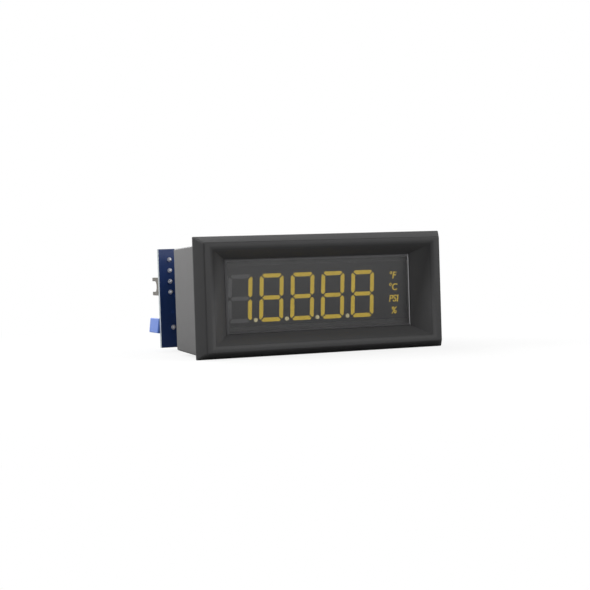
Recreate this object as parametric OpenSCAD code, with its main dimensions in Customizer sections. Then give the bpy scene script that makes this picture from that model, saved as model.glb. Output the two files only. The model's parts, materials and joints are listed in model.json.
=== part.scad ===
// Digital panel meter: a moulded bezel and case, a backlit liquid-crystal display, and a
// stack of three circuit boards, the last of which carries the terminals.
// Units are millimetres. +Z is up, +X is right seen from the front, +Y runs back into the
// panel. The origin is the centre of the bezel, on the plane where its back meets the panel.

/* [Bezel] */
// Width of the bezel's outer edge
bezel_w = 80; // [76:0.5:90]
// Height of the bezel's outer edge
bezel_h = 36; // [34:0.5:44]
// How far the bezel stands in front of the panel
bezel_depth = 5.2; // [4.4:0.1:7]
// Square edge of the flange before its sides slope in
flange_edge = 1.0; // [0.6:0.1:1.6]
// How far the outer sides slope in
outer_slope = 1.9; // [1:0.1:2.6]
// Width of the flat front band at the left and right
band_side = 2.5; // [1.5:0.1:3]
// Width of the flat front band at the top and bottom
band_top = 1.8; // [1:0.1:2.4]
// Depth of the groove in the flange's back that the case's mouth sits in
seat = 0.4; // [0.2:0.1:0.5]
// Depth of the square rim round the window
opening_rim = 0.5; // [0.4:0.1:0.8]

/* [Case] */
// Case mouth's distance in from the bezel's left and right edges
case_inset = 1.45; // [1:0.05:2]
// Height of the case's mouth
case_h = 33.1; // [32.6:0.1:33.6]
// Case axis, below the bezel's axis
case_drop = 0.75; // [0.3:0.05:1]
// Length of the case behind the panel face
case_l = 26; // [24:0.5:34]
// Wall thickness of the case
case_wall = 1.6; // [1.2:0.1:1.8]
// Draft angle of the case's sides
case_draft = 1.5; // [0.5:0.1:1.8]
// Thickest panel that the snap tongues hold
panel_t = 2.2; // [1:0.1:3]
// Width of a snap tongue
tongue_w = 8; // [5:0.5:10]
// Length of a snap tongue
tongue_l = 13; // [9:0.5:15]
// How far a snap tongue's nib stands proud of the case
nib = 0.6; // [0.3:0.1:0.7]

/* [Window and display] */
// Thickness of the window behind its raised face
window_t = 1.2; // [0.8:0.1:1.6]
// Overlap of the window and its opening at the left and right
window_side = 2.0; // [1:0.1:2.4]
// Overlap of the window and its opening at the top and bottom
window_top = 1.0; // [0.6:0.1:1.4]
// How far the window's raised face stands in front of the bezel's rim
window_proud = 0.5; // [0:0.1:0.8]
// Chamfer round the window's raised face
window_chamfer = 0.6; // [0.2:0.1:0.8]
// Thickness of each display glass
glass_t = 0.7; // [0.5:0.05:1.1]
// Thickness of each polarizer
polarizer_t = 0.2; // [0.15:0.05:0.3]
// Cell gap that holds the segments, drawn thicker than the real film
cell_t = 0.12; // [0.1:0.01:0.2]
// Height of the contact ledge on the front glass
ledge_h = 2.4; // [2:0.1:3]
// Thickness of the backlight
backlight_t = 3.0; // [2:0.1:4]
// Left and right wall of the display holder
holder_side = 2.7; // [2.4:0.1:3.4]
// Thinnest wall of the display holder above the glass
holder_top = 1.6; // [1:0.1:2]

/* [Digits] */
// Number of digits
digit_count = 5; // [3:1:5]
// Height of a digit
digit_h = 14.4; // [10:0.1:16]
// Width of a digit
digit_w = 7.6; // [5:0.1:7.7]
// Spacing of the digits
digit_pitch = 10; // [9.4:0.1:10.2]
// Width of a segment
segment_t = 1.2; // [0.8:0.05:1.5]
// Gap between segments
segment_gap = 0.6; // [0.16:0.02:0.7]
// Cut across a digit's corners
segment_cut = 1.15; // [0.5:0.05:1.3]
// Slant of the digits
digit_slant = 3; // [0:0.5:8]
// Height of the digits' centre
digit_z = -0.7; // [-1:0.1:1]
// Space between the window's left edge and the first digit
digit_margin = 1.4; // [1:0.05:3]
// Radius of a decimal point
point_r = 0.62; // [0.4:0.02:0.7]

/* [Boards] */
// Thickness of a circuit board
board_t = 1.6; // [1:0.1:2]
// Front face of the main board
main_y = 16.5; // [15.5:0.5:18]
// Front face of the rear board
rear_y = 44.4; // [40:0.2:54]
// Rear board's ends, in from the case's back edge
rear_in = 0.25; // [0:0.05:0.8]
// Height of the rear board
rear_h = 31.9; // [31:0.1:33]
// Standoffs' distance in from the main board's ends
standoff_in = 10.2; // [9.8:0.1:11]
// Standoffs' distance in from the main board's long edges
standoff_edge = 4.7; // [4.2:0.1:5.2]
// Width across the flats of a standoff
standoff_af = 5; // [4:0.5:5.5]
// Radius of a standoff's screws
screw_r = 1.2; // [1:0.1:1.4]

/* [Link header] */
// Spacing of the header's pins
link_pitch = 3.5; // [3.2:0.1:3.8]
// Number of pins
link_count = 4; // [4:1:5]
// Pin row, in from the rear board's left edge
link_inset = 3.6; // [3.2:0.1:5]
// Middle of the pin row above the case axis
link_z = 7.25; // [6.5:0.05:7.6]
// Side of a square pin
pin_side = 0.64; // [0.5:0.02:0.8]
// Thickness of the header's base
header_t = 2.5; // [2:0.1:3]
// Height of a pin above the header's base
pin_up = 6; // [4:0.5:7]
// Width of the jumper link
link_w = 3.2; // [2.6:0.1:3.6]
// Height of the jumper link's body above the header
link_body = 6.6; // [6.6:0.1:8]
// Length of the link's finger walls
link_wall_l = 4.8; // [3:0.1:6]

/* [Trimmer] */
// Length of the trimmer
trimmer_l = 9.5; // [8:0.1:10]
// Width of the trimmer
trimmer_w = 4.8; // [4:0.1:5.4]
// Height of the trimmer
trimmer_h = 10; // [8:0.1:11]
// How far the trimmer passes the board's left edge
trimmer_over = 0.6; // [0:0.1:1]
// Middle of the trimmer below the case axis
trimmer_z = 9.4; // [9.2:0.1:10]
// Lean of the trimmer in the plane of the board
trimmer_lean = 7; // [0:0.5:8]
// Radius of the adjusting screw
adjust_r = 1.1; // [0.9:0.05:1.3]

/* [Terminal block] */
// Number of terminals
pole_count = 4; // [2:1:6]
// Spacing of the terminals
pole_pitch = 5.08; // [5:0.02:6]
// Depth of the block, from wire side to back
block_d = 8.2; // [7.8:0.1:9.5]
// Height of the wire side above the board's lower edge
block_edge = 0.6; // [0.3:0.1:2]
// Underside of the contact bar above the board
bar_up = 5.0; // [4.6:0.1:6]
// Thickness of the contact bar
bar_t = 0.8; // [0.6:0.05:1]
// Wire space when a clamp is open
wire_gap = 2.4; // [2:0.1:2.6]
// How far a clamp rises when it closes
clamp_rise = 1.8; // [1:0.1:1.9]
// Radius of a clamp screw's shank
clamp_screw_r = 1.0; // [0.8:0.05:1.1]
// Radius of a clamp screw's head
clamp_head_r = 1.8; // [1.6:0.05:1.85]

/* [Clearances] */
// Play between parts that only have to drop in
play = 0.3; // [0.2:0.05:0.4]
// Slip fit between parts that locate each other
slip = 0.1; // [0.05:0.01:0.12]
// Radial play of a shaft that turns in its hole
running = 0.05; // [0.03:0.01:0.08]

/* [Hidden] */
$fn = 32;
overcut = 1;
axis_z = -case_drop;

// Case
case_w = bezel_w - 2 * case_inset;
inner_w = case_w - 2 * case_wall;
inner_h = case_h - 2 * case_wall;
function drafted(size, y) = size - 2 * y * tan(case_draft);
rear_w = drafted(case_w, case_l) - 2 * rear_in;

// Depths of the display stack, from the window back
rim_y = 0.3;
window_y = rim_y + opening_rim;
window_back = window_y + window_t;
polarizer_y = window_back + 0.1;
front_glass_y = polarizer_y + polarizer_t;
cell_y = front_glass_y + glass_t;
rear_glass_y = cell_y + cell_t;
rear_polarizer_y = rear_glass_y + glass_t;
backlight_y = rear_polarizer_y + polarizer_t;
display_y = backlight_y + backlight_t + 0.1;
display_back = display_y + board_t;
main_back = main_y + board_t;
rear_back = rear_y + board_t;

// Snap arms that hold the bezel to the case
arm_w = 10;
arm_t = 0.9;
arm_l = 5.5;
arm_hook = 0.5;
arm_gap = 0.9;
arm_x = inner_w / 2 - play - arm_t;

// Outlines of the display stack, from the case in to the window
holder_w = 2 * (arm_x - arm_gap);
holder_h = inner_h - 2 * play - 4 * slip;
glass_w = holder_w - 2 * holder_side - 2 * slip;
glass_h = holder_h - 2 * (case_drop + holder_top) - 2 * slip;
window_w = glass_w + 4 * slip;
window_h = glass_h + play;
opening_w = window_w - 2 * window_side;
opening_h = window_h - 2 * window_top;
rear_glass_h = glass_h - 2 * ledge_h;
strip_in = 3;
backlight_w = glass_w - 1;

// Boards inside the case
display_w = holder_w;
display_h = holder_h - 2 * slip;
main_w = drafted(inner_w, main_back) - 2 * play;
main_h = drafted(inner_h, main_back) - 2 * play;
standoff_x = main_w / 2 - standoff_in;
standoff_z = main_h / 2 - standoff_edge;

// Snap tongues, and the ribs that back the boards
tongue_in = 14.5;
tongue_x = case_w / 2 - tongue_in;
tongue_slot_w = 0.8;
tongue_y = panel_t + 0.2;
rib_in = 22.9;
lug_in = 14.2;

// Parts on the main board: [width, height, thickness], leg count a side and leg spacing
controller = [10, 10, 1.5];
controller_legs = 12;
controller_pitch = 0.8;
converter = [10, 4, 1.5];
converter_legs = 8;
converter_pitch = 1.27;
regulator = [6.5, 3.5, 1.6];
regulator_legs = 3;
regulator_pitch = 2.3;
leg_l = 1;
leg_thick = 0.2;
crystal_r = 2.1;
crystal_flat = 5.2;
crystal_h = 3.5;
can_r = 2.5;
can_h = 7.4;
resistor = [1.25, 2, 0.5];
resistor_count = 7;
resistor_pitch = 2.6;

// Their places: in from the board's nearer end, and down from its upper edge
controller_at = [22.2, 12.2];
converter_at = [28.2, 13.2];
regulator_at = [17.2, 21.2];
crystal_at = [17.7, 22.2];
left_can_at = [11.7, 14.2];
right_can_at = [16.7, 9.7];
resistor_gap = 3.9;

// Light-emitting diodes behind the display
led_w = 2;
led_h = 1.25;
led_t = 0.9;

// Small screws and pegs
holder_screw_r = 0.75;
holder_head_r = 1.25;
holder_screw_x = holder_w / 2 - holder_side / 2;
holder_screw_in = 5.35;
holder_screw_l = 3.6;
holder_screw_z = display_h / 2 - holder_screw_in;
peg_r = 1.0;
spacer_r = 2.0;
spacer_x = display_w / 2 - spacer_r - 2 * play;
spacer_z = holder_screw_z - 4.5;
board_head_r = 2.2;
board_head_h = 1.5;
board_screw_l = 5;

// Link header
link_x = -rear_w / 2 + link_inset;
link_pins_z = [for (i = [0:link_count - 1])
    axis_z + link_z + (i - (link_count - 1) / 2) * link_pitch];
link_mid_z = (link_pins_z[0] + link_pins_z[1]) / 2;
link_l = link_pitch + 2.4;
link_y = rear_back + header_t + slip;
clip_t = 0.3;
socket_l = pin_up - slip + play;
clip_l = socket_l - 0.5;
solder_r = 0.75;
solder_h = 1.1;
tail = 0.8;

// Trimmer
trimmer_x = -rear_w / 2 - trimmer_over + trimmer_l / 2;
trimmer_y = rear_back + 0.5;
trimmer_pins_at = [[0, 0], [2.54, 1.27], [2.54, -1.27]];
adjust_x = trimmer_l / 2 - adjust_r - 0.6;
adjust_deep = 2.4;

// Terminal block
cage_side = 0.5;
cage_nut = 1.2;
cage_floor = 0.6;
bar_w = 1.6;
cage_w = 2 * (clamp_screw_r + play + cage_side);
cage_d = 4.0;
cavity_w = cage_w + 2 * play;
cavity_d = cage_d + 2 * play;
cage_low = bar_up - wire_gap - cage_floor;
cage_top = bar_up + bar_t + play + cage_nut;
roof_low = cage_top + clamp_rise + play;
roof_t = 0.8;
head_t = 1.5;
block_h = roof_low + roof_t + running + head_t + 0.3;
block_w = pole_count * pole_pitch;
shoulder = 0.9;
shoulder_l = 3.4;
groove_w = 0.4;
groove_deep = 0.25;
block_z = axis_z - rear_h / 2 + block_edge;
pole_z = block_z + block_d / 2 - 0.6;
leg_t = 0.8;
leg_z = pole_z + cavity_d / 2 + leg_t / 2;
function pole_x(i) = (i - (pole_count - 1) / 2) * pole_pitch;

// Stacking connector between the main and rear boards
stack_count = 10;
stack_pitch = 2.54;
stack_w = 2.5;
stack_z = axis_z + main_h / 2 - stack_w / 2 - 1.45;
stack_socket_l = 8.5;
stack_grip = 5;
function stack_x(i) = (i - (stack_count - 1) / 2) * stack_pitch;

// Connector between the display and main boards
row_count = 14;
row_pitch = 2;
row_pin = 0.5;
row_z = axis_z - main_h / 2 + 3.7;
function row_x(i) = (i - (row_count - 1) / 2) * row_pitch;

// Box that is centred on X and Z and runs from y0 to y1
module slab(w, h, y0, y1, x = 0, z = 0) {
    translate([x - w / 2, y0, z - h / 2]) cube([w, y1 - y0, h]);
}

// Round bar along Y
module rod(r, y0, y1, x = 0, z = 0) {
    translate([x, y0, z]) rotate([-90, 0, 0]) cylinder(r = r, h = y1 - y0);
}

// Outline in X and Z, extruded from y0 to y1
module plate(y0, y1) {
    translate([0, y1, 0]) rotate([90, 0, 0]) linear_extrude(y1 - y0) children();
}

// Outline in Y and Z, extruded w wide about x
module bar(w, x = 0) {
    translate([x, 0, 0]) rotate([90, 0, 90]) linear_extrude(w, center = true) children();
}

// Header strip w wide with n places, notched between them
module strip(n, pitch, w) {
    cut = w / 6;
    ends = [for (i = [0:n]) (i - n / 2) * pitch];
    side = [for (i = [0:n - 1], p = [[w / 2 - cut, ends[i]], [w / 2, ends[i] + cut],
        [w / 2, ends[i + 1] - cut]]) p];
    right = concat(side, [[w / 2 - cut, ends[n]]]);
    polygon(concat(right, [for (p = right) -p]));
}

// Four-sided taper: size a at y0, size b at y1
module taper(a, b, y0, y1, z = 0) {
    translate([0, 0, z]) polyhedron(
        points = [for (s = [[a, y0], [b, y1]], c = [[-1, -1], [1, -1], [1, 1], [-1, 1]])
            [c[0] * s[0][0] / 2, s[1], c[1] * s[0][1] / 2]],
        faces = [[3, 2, 1, 0], [4, 5, 6, 7], [0, 1, 5, 4], [1, 2, 6, 5], [2, 3, 7, 6],
            [3, 0, 4, 7]]);
}

// Copies at the four corners of a rectangle about the case axis
module at_corners(x, z) {
    for (sx = [-1, 1], sz = [-1, 1]) translate([sx * x, 0, axis_z + sz * z]) children();
}

// ---- Bezel and window ----

module bezel() {
    front = [bezel_w - 2 * outer_slope, bezel_h - 2 * outer_slope];
    inner = [front[0] - 2 * band_side, front[1] - 2 * band_top];
    opening = [opening_w, opening_h];
    slope_l = bezel_depth + rim_y;
    // The slope is carried on in front of the band, so that the cut is clean
    ahead = [for (i = [0, 1]) inner[i] + (inner[i] - opening[i]) * overcut / slope_l];
    color("#2b2c2e") difference() {
        union() {
            taper(front, [bezel_w, bezel_h], -bezel_depth, -flange_edge);
            slab(bezel_w, bezel_h, -flange_edge, 0);
            slab(holder_w, holder_h, -flange_edge / 2, window_back, z = axis_z);
            for (s = [-1, 1]) {
                slab(arm_t, arm_w, -flange_edge / 2, arm_l, s * (arm_x + arm_t / 2), axis_z);
                snap_hook(s);
            }
        }
        taper(ahead, opening, -bezel_depth - overcut, rim_y);
        slab(opening_w, opening_h, rim_y - overcut / 100, window_y + overcut);
        slab(window_w + 2 * slip, window_h + 2 * slip, window_y, window_back + overcut);
        translate([0, 0, axis_z]) difference() {
            slab(case_w + 2 * slip, case_h + 2 * slip, -seat, overcut);
            slab(inner_w - 2 * slip, inner_h - 2 * slip, -seat - overcut, 2 * overcut);
        }
    }
}

// Hook on the outside of a snap arm, sloped on its leading side
module snap_hook(side) {
    hook_w = arm_w - 2;
    root = side * (arm_x + arm_t / 2);
    face = side * (arm_x + arm_t);
    tip = side * (arm_x + arm_t + arm_hook);
    translate([0, 0, axis_z - hook_w / 2]) linear_extrude(hook_w)
        polygon([[root, arm_l - 2], [face, arm_l - 2], [tip, arm_l - 1.6],
            [tip, arm_l - 1.2], [face, arm_l], [root, arm_l]]);
}

module window() {
    raised = [opening_w - 2 * slip, opening_h - 2 * slip];
    face = [raised[0] - 2 * window_chamfer, raised[1] - 2 * window_chamfer];
    front = rim_y - window_proud;
    color([0.32, 0.33, 0.35, 0.5]) union() {
        taper(face, raised, front, front + window_chamfer);
        slab(raised[0], raised[1], front + window_chamfer, window_y);
        slab(window_w, window_h, window_y, window_back);
    }
}

// ---- Liquid-crystal display ----

module front_polarizer() {
    color("#3a3b3e") slab(glass_w - 2, rear_glass_h - 1, polarizer_y, front_glass_y);
}

module front_glass() {
    color([0.75, 0.8, 0.8, 0.4]) slab(glass_w, glass_h, front_glass_y, cell_y);
}

module rear_glass() {
    color([0.7, 0.76, 0.76, 0.4]) slab(glass_w, rear_glass_h, rear_glass_y, rear_polarizer_y);
}

module rear_polarizer() {
    color("#55565a") slab(glass_w - 2, rear_glass_h - 1, rear_polarizer_y, backlight_y);
}

// Point of a digit after its slant
function slanted(p) = [p[0] + p[1] * tan(digit_slant), p[1]];

// Outline of segment 0 to 6 (a to g) of a digit centred on the origin
function segment_points(k) =
    let (w = digit_w / 2, h = digit_h / 2, t = segment_t, g = segment_gap / 2,
        c = segment_cut, near = (c - g) / 2, far = (c + g) / 2)
    k == 0 ? [[-w + c, h], [w - c, h], [w - far, h - near], [w - t - g, h - t],
        [-w + t + g, h - t], [-w + far, h - near]] :
    k == 3 ? [for (p = segment_points(0)) [p[0], -p[1]]] :
    k == 1 ? [[w, h - c], [w, t / 2 + g], [w - t / 2, g], [w - t, t / 2 + g],
        [w - t, h - t - g], [w - near, h - far]] :
    k == 2 ? [for (p = segment_points(1)) [p[0], -p[1]]] :
    k == 4 ? [for (p = segment_points(1)) [-p[0], -p[1]]] :
    k == 5 ? [for (p = segment_points(1)) [-p[0], p[1]]] :
    [[-w + t / 2 + g, 0], [-w + t + g, t / 2], [w - t - g, t / 2], [w - t / 2 - g, 0],
        [w - t - g, -t / 2], [-w + t + g, -t / 2]];

function digit_x(i) = -opening_w / 2 + digit_margin + digit_w / 2
    + digit_h / 2 * tan(digit_slant) + i * digit_pitch;

// The chosen segments of digit i, as pieces that fill the cell gap
module segments(i, chosen) {
    for (k = chosen) translate([digit_x(i), 0, digit_z]) plate(cell_y, rear_glass_y)
        polygon([for (p = segment_points(k)) slanted(p)]);
}

module lit_segments() {
    color("#d9b83a") {
        segments(0, [1, 2]);
        for (i = [1:digit_count - 1]) segments(i, [0:6]);
    }
}

module unlit_segments() {
    color("#4c4d50") segments(0, [0, 3, 4, 5, 6]);
}

module decimal_points() {
    drop = slanted([digit_pitch / 2 + 0.1, -digit_h / 2 + point_r]);
    color("#e6cf74") for (i = [0:digit_count - 2])
        rod(point_r, cell_y, rear_glass_y, digit_x(i) + drop[0], digit_z + drop[1]);
}

module contact_strips() {
    strip_h = ledge_h - 0.5;
    color("#b9bcc0") for (s = [-1, 1])
        slab(glass_w - 2 * strip_in, strip_h, cell_y, display_y,
            z = s * (glass_h - strip_h - 2 * slip) / 2);
}

module backlight() {
    h = rear_glass_h;
    color("#f1ecd9") difference() {
        slab(backlight_w, h, backlight_y, display_y);
        for (s = [-1, 1]) led_place(s) slab(led_w + 2 * play, led_h + 2 * play,
            display_y - led_t - play, display_y + overcut);
    }
}

// Places of the light-emitting diodes at one end of the display board
module led_place(side) {
    for (z = [-1, 1]) translate([side * (backlight_w / 2 - 4), 0, z * rear_glass_h / 4])
        children();
}

module backlight_leds() {
    color("#f4d35e") for (s = [-1, 1]) led_place(s)
        slab(led_w, led_h, display_y - led_t, display_y);
}

module display_holder() {
    color("#222326") difference() {
        slab(holder_w, holder_h, window_back, display_y, z = axis_z);
        slab(glass_w + 2 * slip, glass_h + 2 * slip, window_back - overcut,
            display_y + overcut);
        at_corners(holder_screw_x, holder_screw_z)
            rod(holder_screw_r, display_y - holder_screw_l - play, display_y + overcut);
    }
}

// ---- Display board ----

module display_board() {
    color("#1f4f3a") difference() {
        slab(display_w, display_h, display_y, display_back, z = axis_z);
        at_corners(holder_screw_x, holder_screw_z)
            rod(holder_screw_r + slip, display_y - overcut, display_back + overcut);
        at_corners(spacer_x, spacer_z)
            rod(peg_r, display_y - overcut, display_back + overcut);
        for (i = [0:row_count - 1]) slab(row_pin, row_pin, display_y - overcut,
            display_back + overcut, row_x(i), row_z);
    }
}

// Pan-head screw along Y: shank from y0 to y1, head beyond y1
module pan_screw(r, head_r, head_h, y0, y1) {
    difference() {
        union() {
            rod(r, y0, y1);
            rod(head_r, y1, y1 + head_h);
        }
        for (a = [0, 90]) rotate([0, a, 0])
            slab(head_r * 1.1, head_r * 0.25, y1 + head_h / 2, y1 + head_h + overcut);
    }
}

module holder_screws() {
    color("#b8bbc0") at_corners(holder_screw_x, holder_screw_z)
        pan_screw(holder_screw_r, holder_head_r, 0.9, display_y - holder_screw_l, display_back);
}

module board_spacers() {
    color("#e8e6dd") at_corners(spacer_x, spacer_z) {
        rod(spacer_r, display_back, main_y);
        rod(peg_r, display_back - board_t, display_back);
        rod(peg_r, main_y, main_back);
    }
}

module display_header() {
    color("#1c1c1e") difference() {
        slab(row_count * row_pitch, row_pitch, display_back, main_y, z = row_z);
        for (i = [0:row_count - 1]) slab(row_pin, row_pin, display_back - overcut,
            main_y + overcut, row_x(i), row_z);
    }
}

module display_header_pins() {
    color("#c9a227") for (i = [0:row_count - 1])
        slab(row_pin, row_pin, display_y, main_back + tail, row_x(i), row_z);
}

// ---- Main board ----

module main_board() {
    color("#1f4f3a") difference() {
        slab(main_w, main_h, main_y, main_back, z = axis_z);
        at_corners(spacer_x, spacer_z) rod(peg_r, main_y - overcut, main_back + overcut);
        at_corners(standoff_x, standoff_z)
            rod(screw_r + slip, main_y - overcut, main_back + overcut);
        for (i = [0:row_count - 1]) slab(row_pin, row_pin, main_y - overcut,
            main_back + overcut, row_x(i), row_z);
    }
}

// Places its children on the main board, in from its left (-1) or right (1) end
module on_main(side, at) {
    translate([side * (main_w / 2 - at[0]), 0, axis_z + main_h / 2 - at[1]]) children();
}

// Flat chip with n bent legs on each of two sides
module chip(size, n, pitch) {
    w = pitch * 0.4;
    foot = main_back + slip;
    slab(size[0], size[1], foot, foot + size[2]);
    for (s = [-1, 1], i = [0:n - 1]) {
        x = (i - (n - 1) / 2) * pitch;
        z = s * size[1] / 2;
        slab(w, leg_l, main_back, main_back + leg_thick, x, z + s * leg_l / 2);
        slab(w, leg_thick, main_back, foot + size[2] / 2, x, z + s * leg_thick / 2);
    }
}

module controller_chip() {
    color("#26272a") on_main(-1, controller_at)
        chip(controller, controller_legs, controller_pitch);
}

module converter_chip() {
    color("#26272a") on_main(1, converter_at)
        chip(converter, converter_legs, converter_pitch);
}

module voltage_regulator() {
    color("#26272a") on_main(1, regulator_at)
        chip(regulator, regulator_legs, regulator_pitch);
}

module crystal() {
    color("#c6c9cc") on_main(-1, crystal_at) plate(main_back, main_back + crystal_h) {
        square([crystal_flat, 2 * crystal_r], center = true);
        for (s = [-1, 1]) translate([s * crystal_flat / 2, 0]) circle(r = crystal_r);
    }
}

// Can capacitor with a narrower rolled end
module can() {
    end_y = main_back + can_h - play;
    rod(can_r, main_back, end_y);
    rod(can_r - play, end_y, main_back + can_h);
}

module capacitors() {
    color("#2a3d66") {
        on_main(-1, left_can_at) can();
        on_main(1, right_can_at) can();
    }
}

module chip_resistors() {
    color("#35363a") for (i = [0:resistor_count - 1]) slab(resistor[0], resistor[1],
        main_back, main_back + resistor[2],
        (i - (resistor_count - 1) / 2) * resistor_pitch, row_z + resistor_gap);
}

// ---- Stacking connector, standoffs and rear board ----

module stack_socket() {
    color("#1c1c1e") difference() {
        slab(stack_count * stack_pitch, stack_w, main_back, main_back + stack_socket_l,
            z = stack_z);
        for (i = [0:stack_count - 1]) slab(pin_side + 2 * slip, pin_side + 2 * slip,
            main_back + stack_socket_l - stack_grip - play,
            main_back + stack_socket_l + overcut, stack_x(i), stack_z);
    }
}

module stack_header() {
    color("#1c1c1e") difference() {
        translate([0, 0, stack_z]) plate(rear_y - header_t, rear_y) rotate(90)
            strip(stack_count, stack_pitch, stack_w);
        for (i = [0:stack_count - 1]) slab(pin_side, pin_side, rear_y - header_t - overcut,
            rear_y + overcut, stack_x(i), stack_z);
    }
}

module stack_pins() {
    color("#c9a227") for (i = [0:stack_count - 1]) slab(pin_side, pin_side,
        main_back + stack_socket_l - stack_grip, rear_back + tail, stack_x(i), stack_z);
}

module standoffs() {
    depth = board_screw_l + 2;
    color("#c9b35a") at_corners(standoff_x, standoff_z) difference() {
        plate(main_back, rear_y) circle(r = standoff_af / sqrt(3), $fn = 6);
        rod(screw_r, main_back - overcut, main_back + depth);
        rod(screw_r, rear_y - depth, rear_y + overcut);
    }
}

module standoff_screws() {
    color("#b8bbc0") at_corners(standoff_x, standoff_z) {
        pan_screw(screw_r, board_head_r, board_head_h, rear_y - board_screw_l, rear_back);
        translate([0, 2 * main_y, 0]) mirror([0, 1, 0]) pan_screw(screw_r, board_head_r,
            board_head_h, main_y - board_t - board_screw_l, main_y);
    }
}

module rear_board() {
    color("#1d3f8f") difference() {
        slab(rear_w, rear_h, rear_y, rear_back, z = axis_z);
        at_corners(standoff_x, standoff_z)
            rod(screw_r + slip, rear_y - overcut, rear_back + overcut);
        for (i = [0:stack_count - 1]) slab(pin_side, pin_side, rear_y - overcut,
            rear_back + overcut, stack_x(i), stack_z);
        for (z = link_pins_z) slab(pin_side, pin_side, rear_y - overcut,
            rear_back + overcut, link_x, z);
        at_trimmer() for (p = trimmer_pins_at) slab(pin_side, pin_side,
            rear_y - overcut, rear_back + overcut, p[0], p[1]);
        for (i = [0:pole_count - 1]) slab(bar_w, leg_t, rear_y - overcut,
            rear_back + overcut, pole_x(i), leg_z);
    }
}

// One solder joint on the front (side = -1) or back (side = 1) of the rear board,
// round a tail of the given width and thickness
module solder(side, w = pin_side, t = pin_side, spread = 0) {
    face = side < 0 ? rear_y : rear_back;
    difference() {
        translate([0, face, 0]) rotate([-90 * side, 0, 0])
            cylinder(r1 = solder_r + spread, r2 = 0.45 + spread, h = solder_h);
        slab(w, t, face - 2 * solder_h, face + 2 * solder_h);
    }
}

module solder_joints() {
    color("#d5d8db") {
        for (z = link_pins_z) translate([link_x, 0, z]) solder(-1);
        at_trimmer() for (p = trimmer_pins_at) translate([p[0], 0, p[1]]) solder(-1);
        for (i = [0:pole_count - 1]) translate([pole_x(i), 0, leg_z])
            solder(-1, bar_w, leg_t, 0.5);
        for (i = [0:stack_count - 1]) translate([stack_x(i), 0, stack_z]) solder(1);
    }
}

// ---- Case ----

module case() {
    mouth = -seat - overcut;
    out0 = [case_w, case_h];
    out1 = [drafted(case_w, case_l), drafted(case_h, case_l)];
    in0 = [drafted(inner_w, mouth), drafted(inner_h, mouth)];
    in1 = [drafted(inner_w, case_l + overcut), drafted(inner_h, case_l + overcut)];
    rib_y = display_back + 0.1;
    color("#3c3d40") difference() {
        union() {
            difference() {
                union() {
                    slab(case_w, case_h, -seat, 0, z = axis_z);
                    taper(out0, out1, 0, case_l, axis_z);
                }
                taper(in0, in1, mouth, case_l + overcut, axis_z);
            }
            for (sx = [-1, 1], sz = [-1, 1]) {
                case_rib(sx * (display_w / 2 - rib_in), sz, rib_y, main_y - slip, display_h / 2);
                case_rib(sx * (main_w / 2 - lug_in), sz, main_back, case_l, main_h / 2);
                tongue_nib(sx * tongue_x, sz);
            }
        }
        for (s = [-1, 1]) slab(2 * (arm_hook + play), arm_w + 1, arm_l - 2.3, arm_l + play,
            s * inner_w / 2, axis_z);
        for (sx = [-1, 1], sz = [-1, 1]) tongue_slot(sx * tongue_x, sz);
    }
}

// Rib on a long wall, from y0 to y1, whose front end backs a board's edge
module case_rib(x, side, y0, y1, board_half) {
    low = board_half - 1.2;
    high = drafted(inner_h, y0) / 2 + 0.2;
    slab(2, high - low, y0, y1, x, axis_z + side * (low + high) / 2);
}

// Nib at the free front end of a snap tongue: steep towards the panel, sloped behind
module tongue_nib(x, side) {
    foot = drafted(case_h, tongue_y + tongue_l) / 2 - 0.4;
    peak = case_h / 2 + nib;
    translate([0, 0, axis_z]) mirror([0, 0, side < 0 ? 1 : 0]) bar(tongue_w, x)
        polygon([[tongue_y, foot], [tongue_y, peak], [tongue_y + 1, peak],
            [tongue_y + tongue_l * 0.55, foot]]);
}

// Slot round three sides of a snap tongue
module tongue_slot(x, side) {
    z = axis_z + side * case_h / 2;
    reach = 2 * (case_wall + 1.0);
    for (s = [-1, 1]) slab(tongue_slot_w, reach, tongue_y - tongue_slot_w,
        tongue_y + tongue_l, x + s * (tongue_w + tongue_slot_w) / 2, z);
    slab(tongue_w + tongue_slot_w, reach, tongue_y - tongue_slot_w, tongue_y, x, z);
}

// ---- Link header and jumper link ----

module link_header() {
    color("#1c1c1e") difference() {
        translate([link_x, 0, axis_z + link_z]) plate(rear_back, rear_back + header_t)
            strip(link_count, link_pitch, header_t);
        for (z = link_pins_z) slab(pin_side, pin_side, rear_back - overcut,
            rear_back + header_t + overcut, link_x, z);
    }
}

module link_pins() {
    color("#c9a227") for (z = link_pins_z) slab(pin_side, pin_side, rear_y - tail,
        rear_back + header_t + pin_up, link_x, z);
}

module jumper_link() {
    wall_t = 1.2;
    body_y = link_y + link_body;
    end_y = body_y + link_wall_l;
    hole = pin_side + 2 * slip + 2 * clip_t + 0.02;
    scoop_r = (link_l - 2 * wall_t) / 2;
    color("#8d8a80") difference() {
        slab(link_w, link_l, link_y, end_y, link_x, link_mid_z);
        translate([link_x, body_y + scoop_r, link_mid_z]) rotate([0, 90, 0])
            cylinder(r = scoop_r, h = link_w + 2 * overcut, center = true);
        slab(link_w + 2 * overcut, 2 * scoop_r, body_y + scoop_r, end_y + overcut,
            link_x, link_mid_z);
        slab(hole, link_pitch + hole, link_y - overcut, link_y + socket_l,
            link_x, link_mid_z);
    }
}

// Sprung clip inside the link that joins two pins
module link_contact() {
    side = pin_side + 2 * slip;
    outer = side + 2 * clip_t;
    color("#c9a227") translate([0, 0, link_mid_z]) for (s = [-1, 1]) {
        slab(clip_t, link_pitch + outer, link_y + 0.4, link_y + clip_l,
            link_x + s * (side + clip_t) / 2);
        slab(outer, clip_t, link_y + 0.4, link_y + clip_l, link_x,
            s * (link_pitch + side + clip_t) / 2);
    }
}

// ---- Trimmer ----

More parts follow.
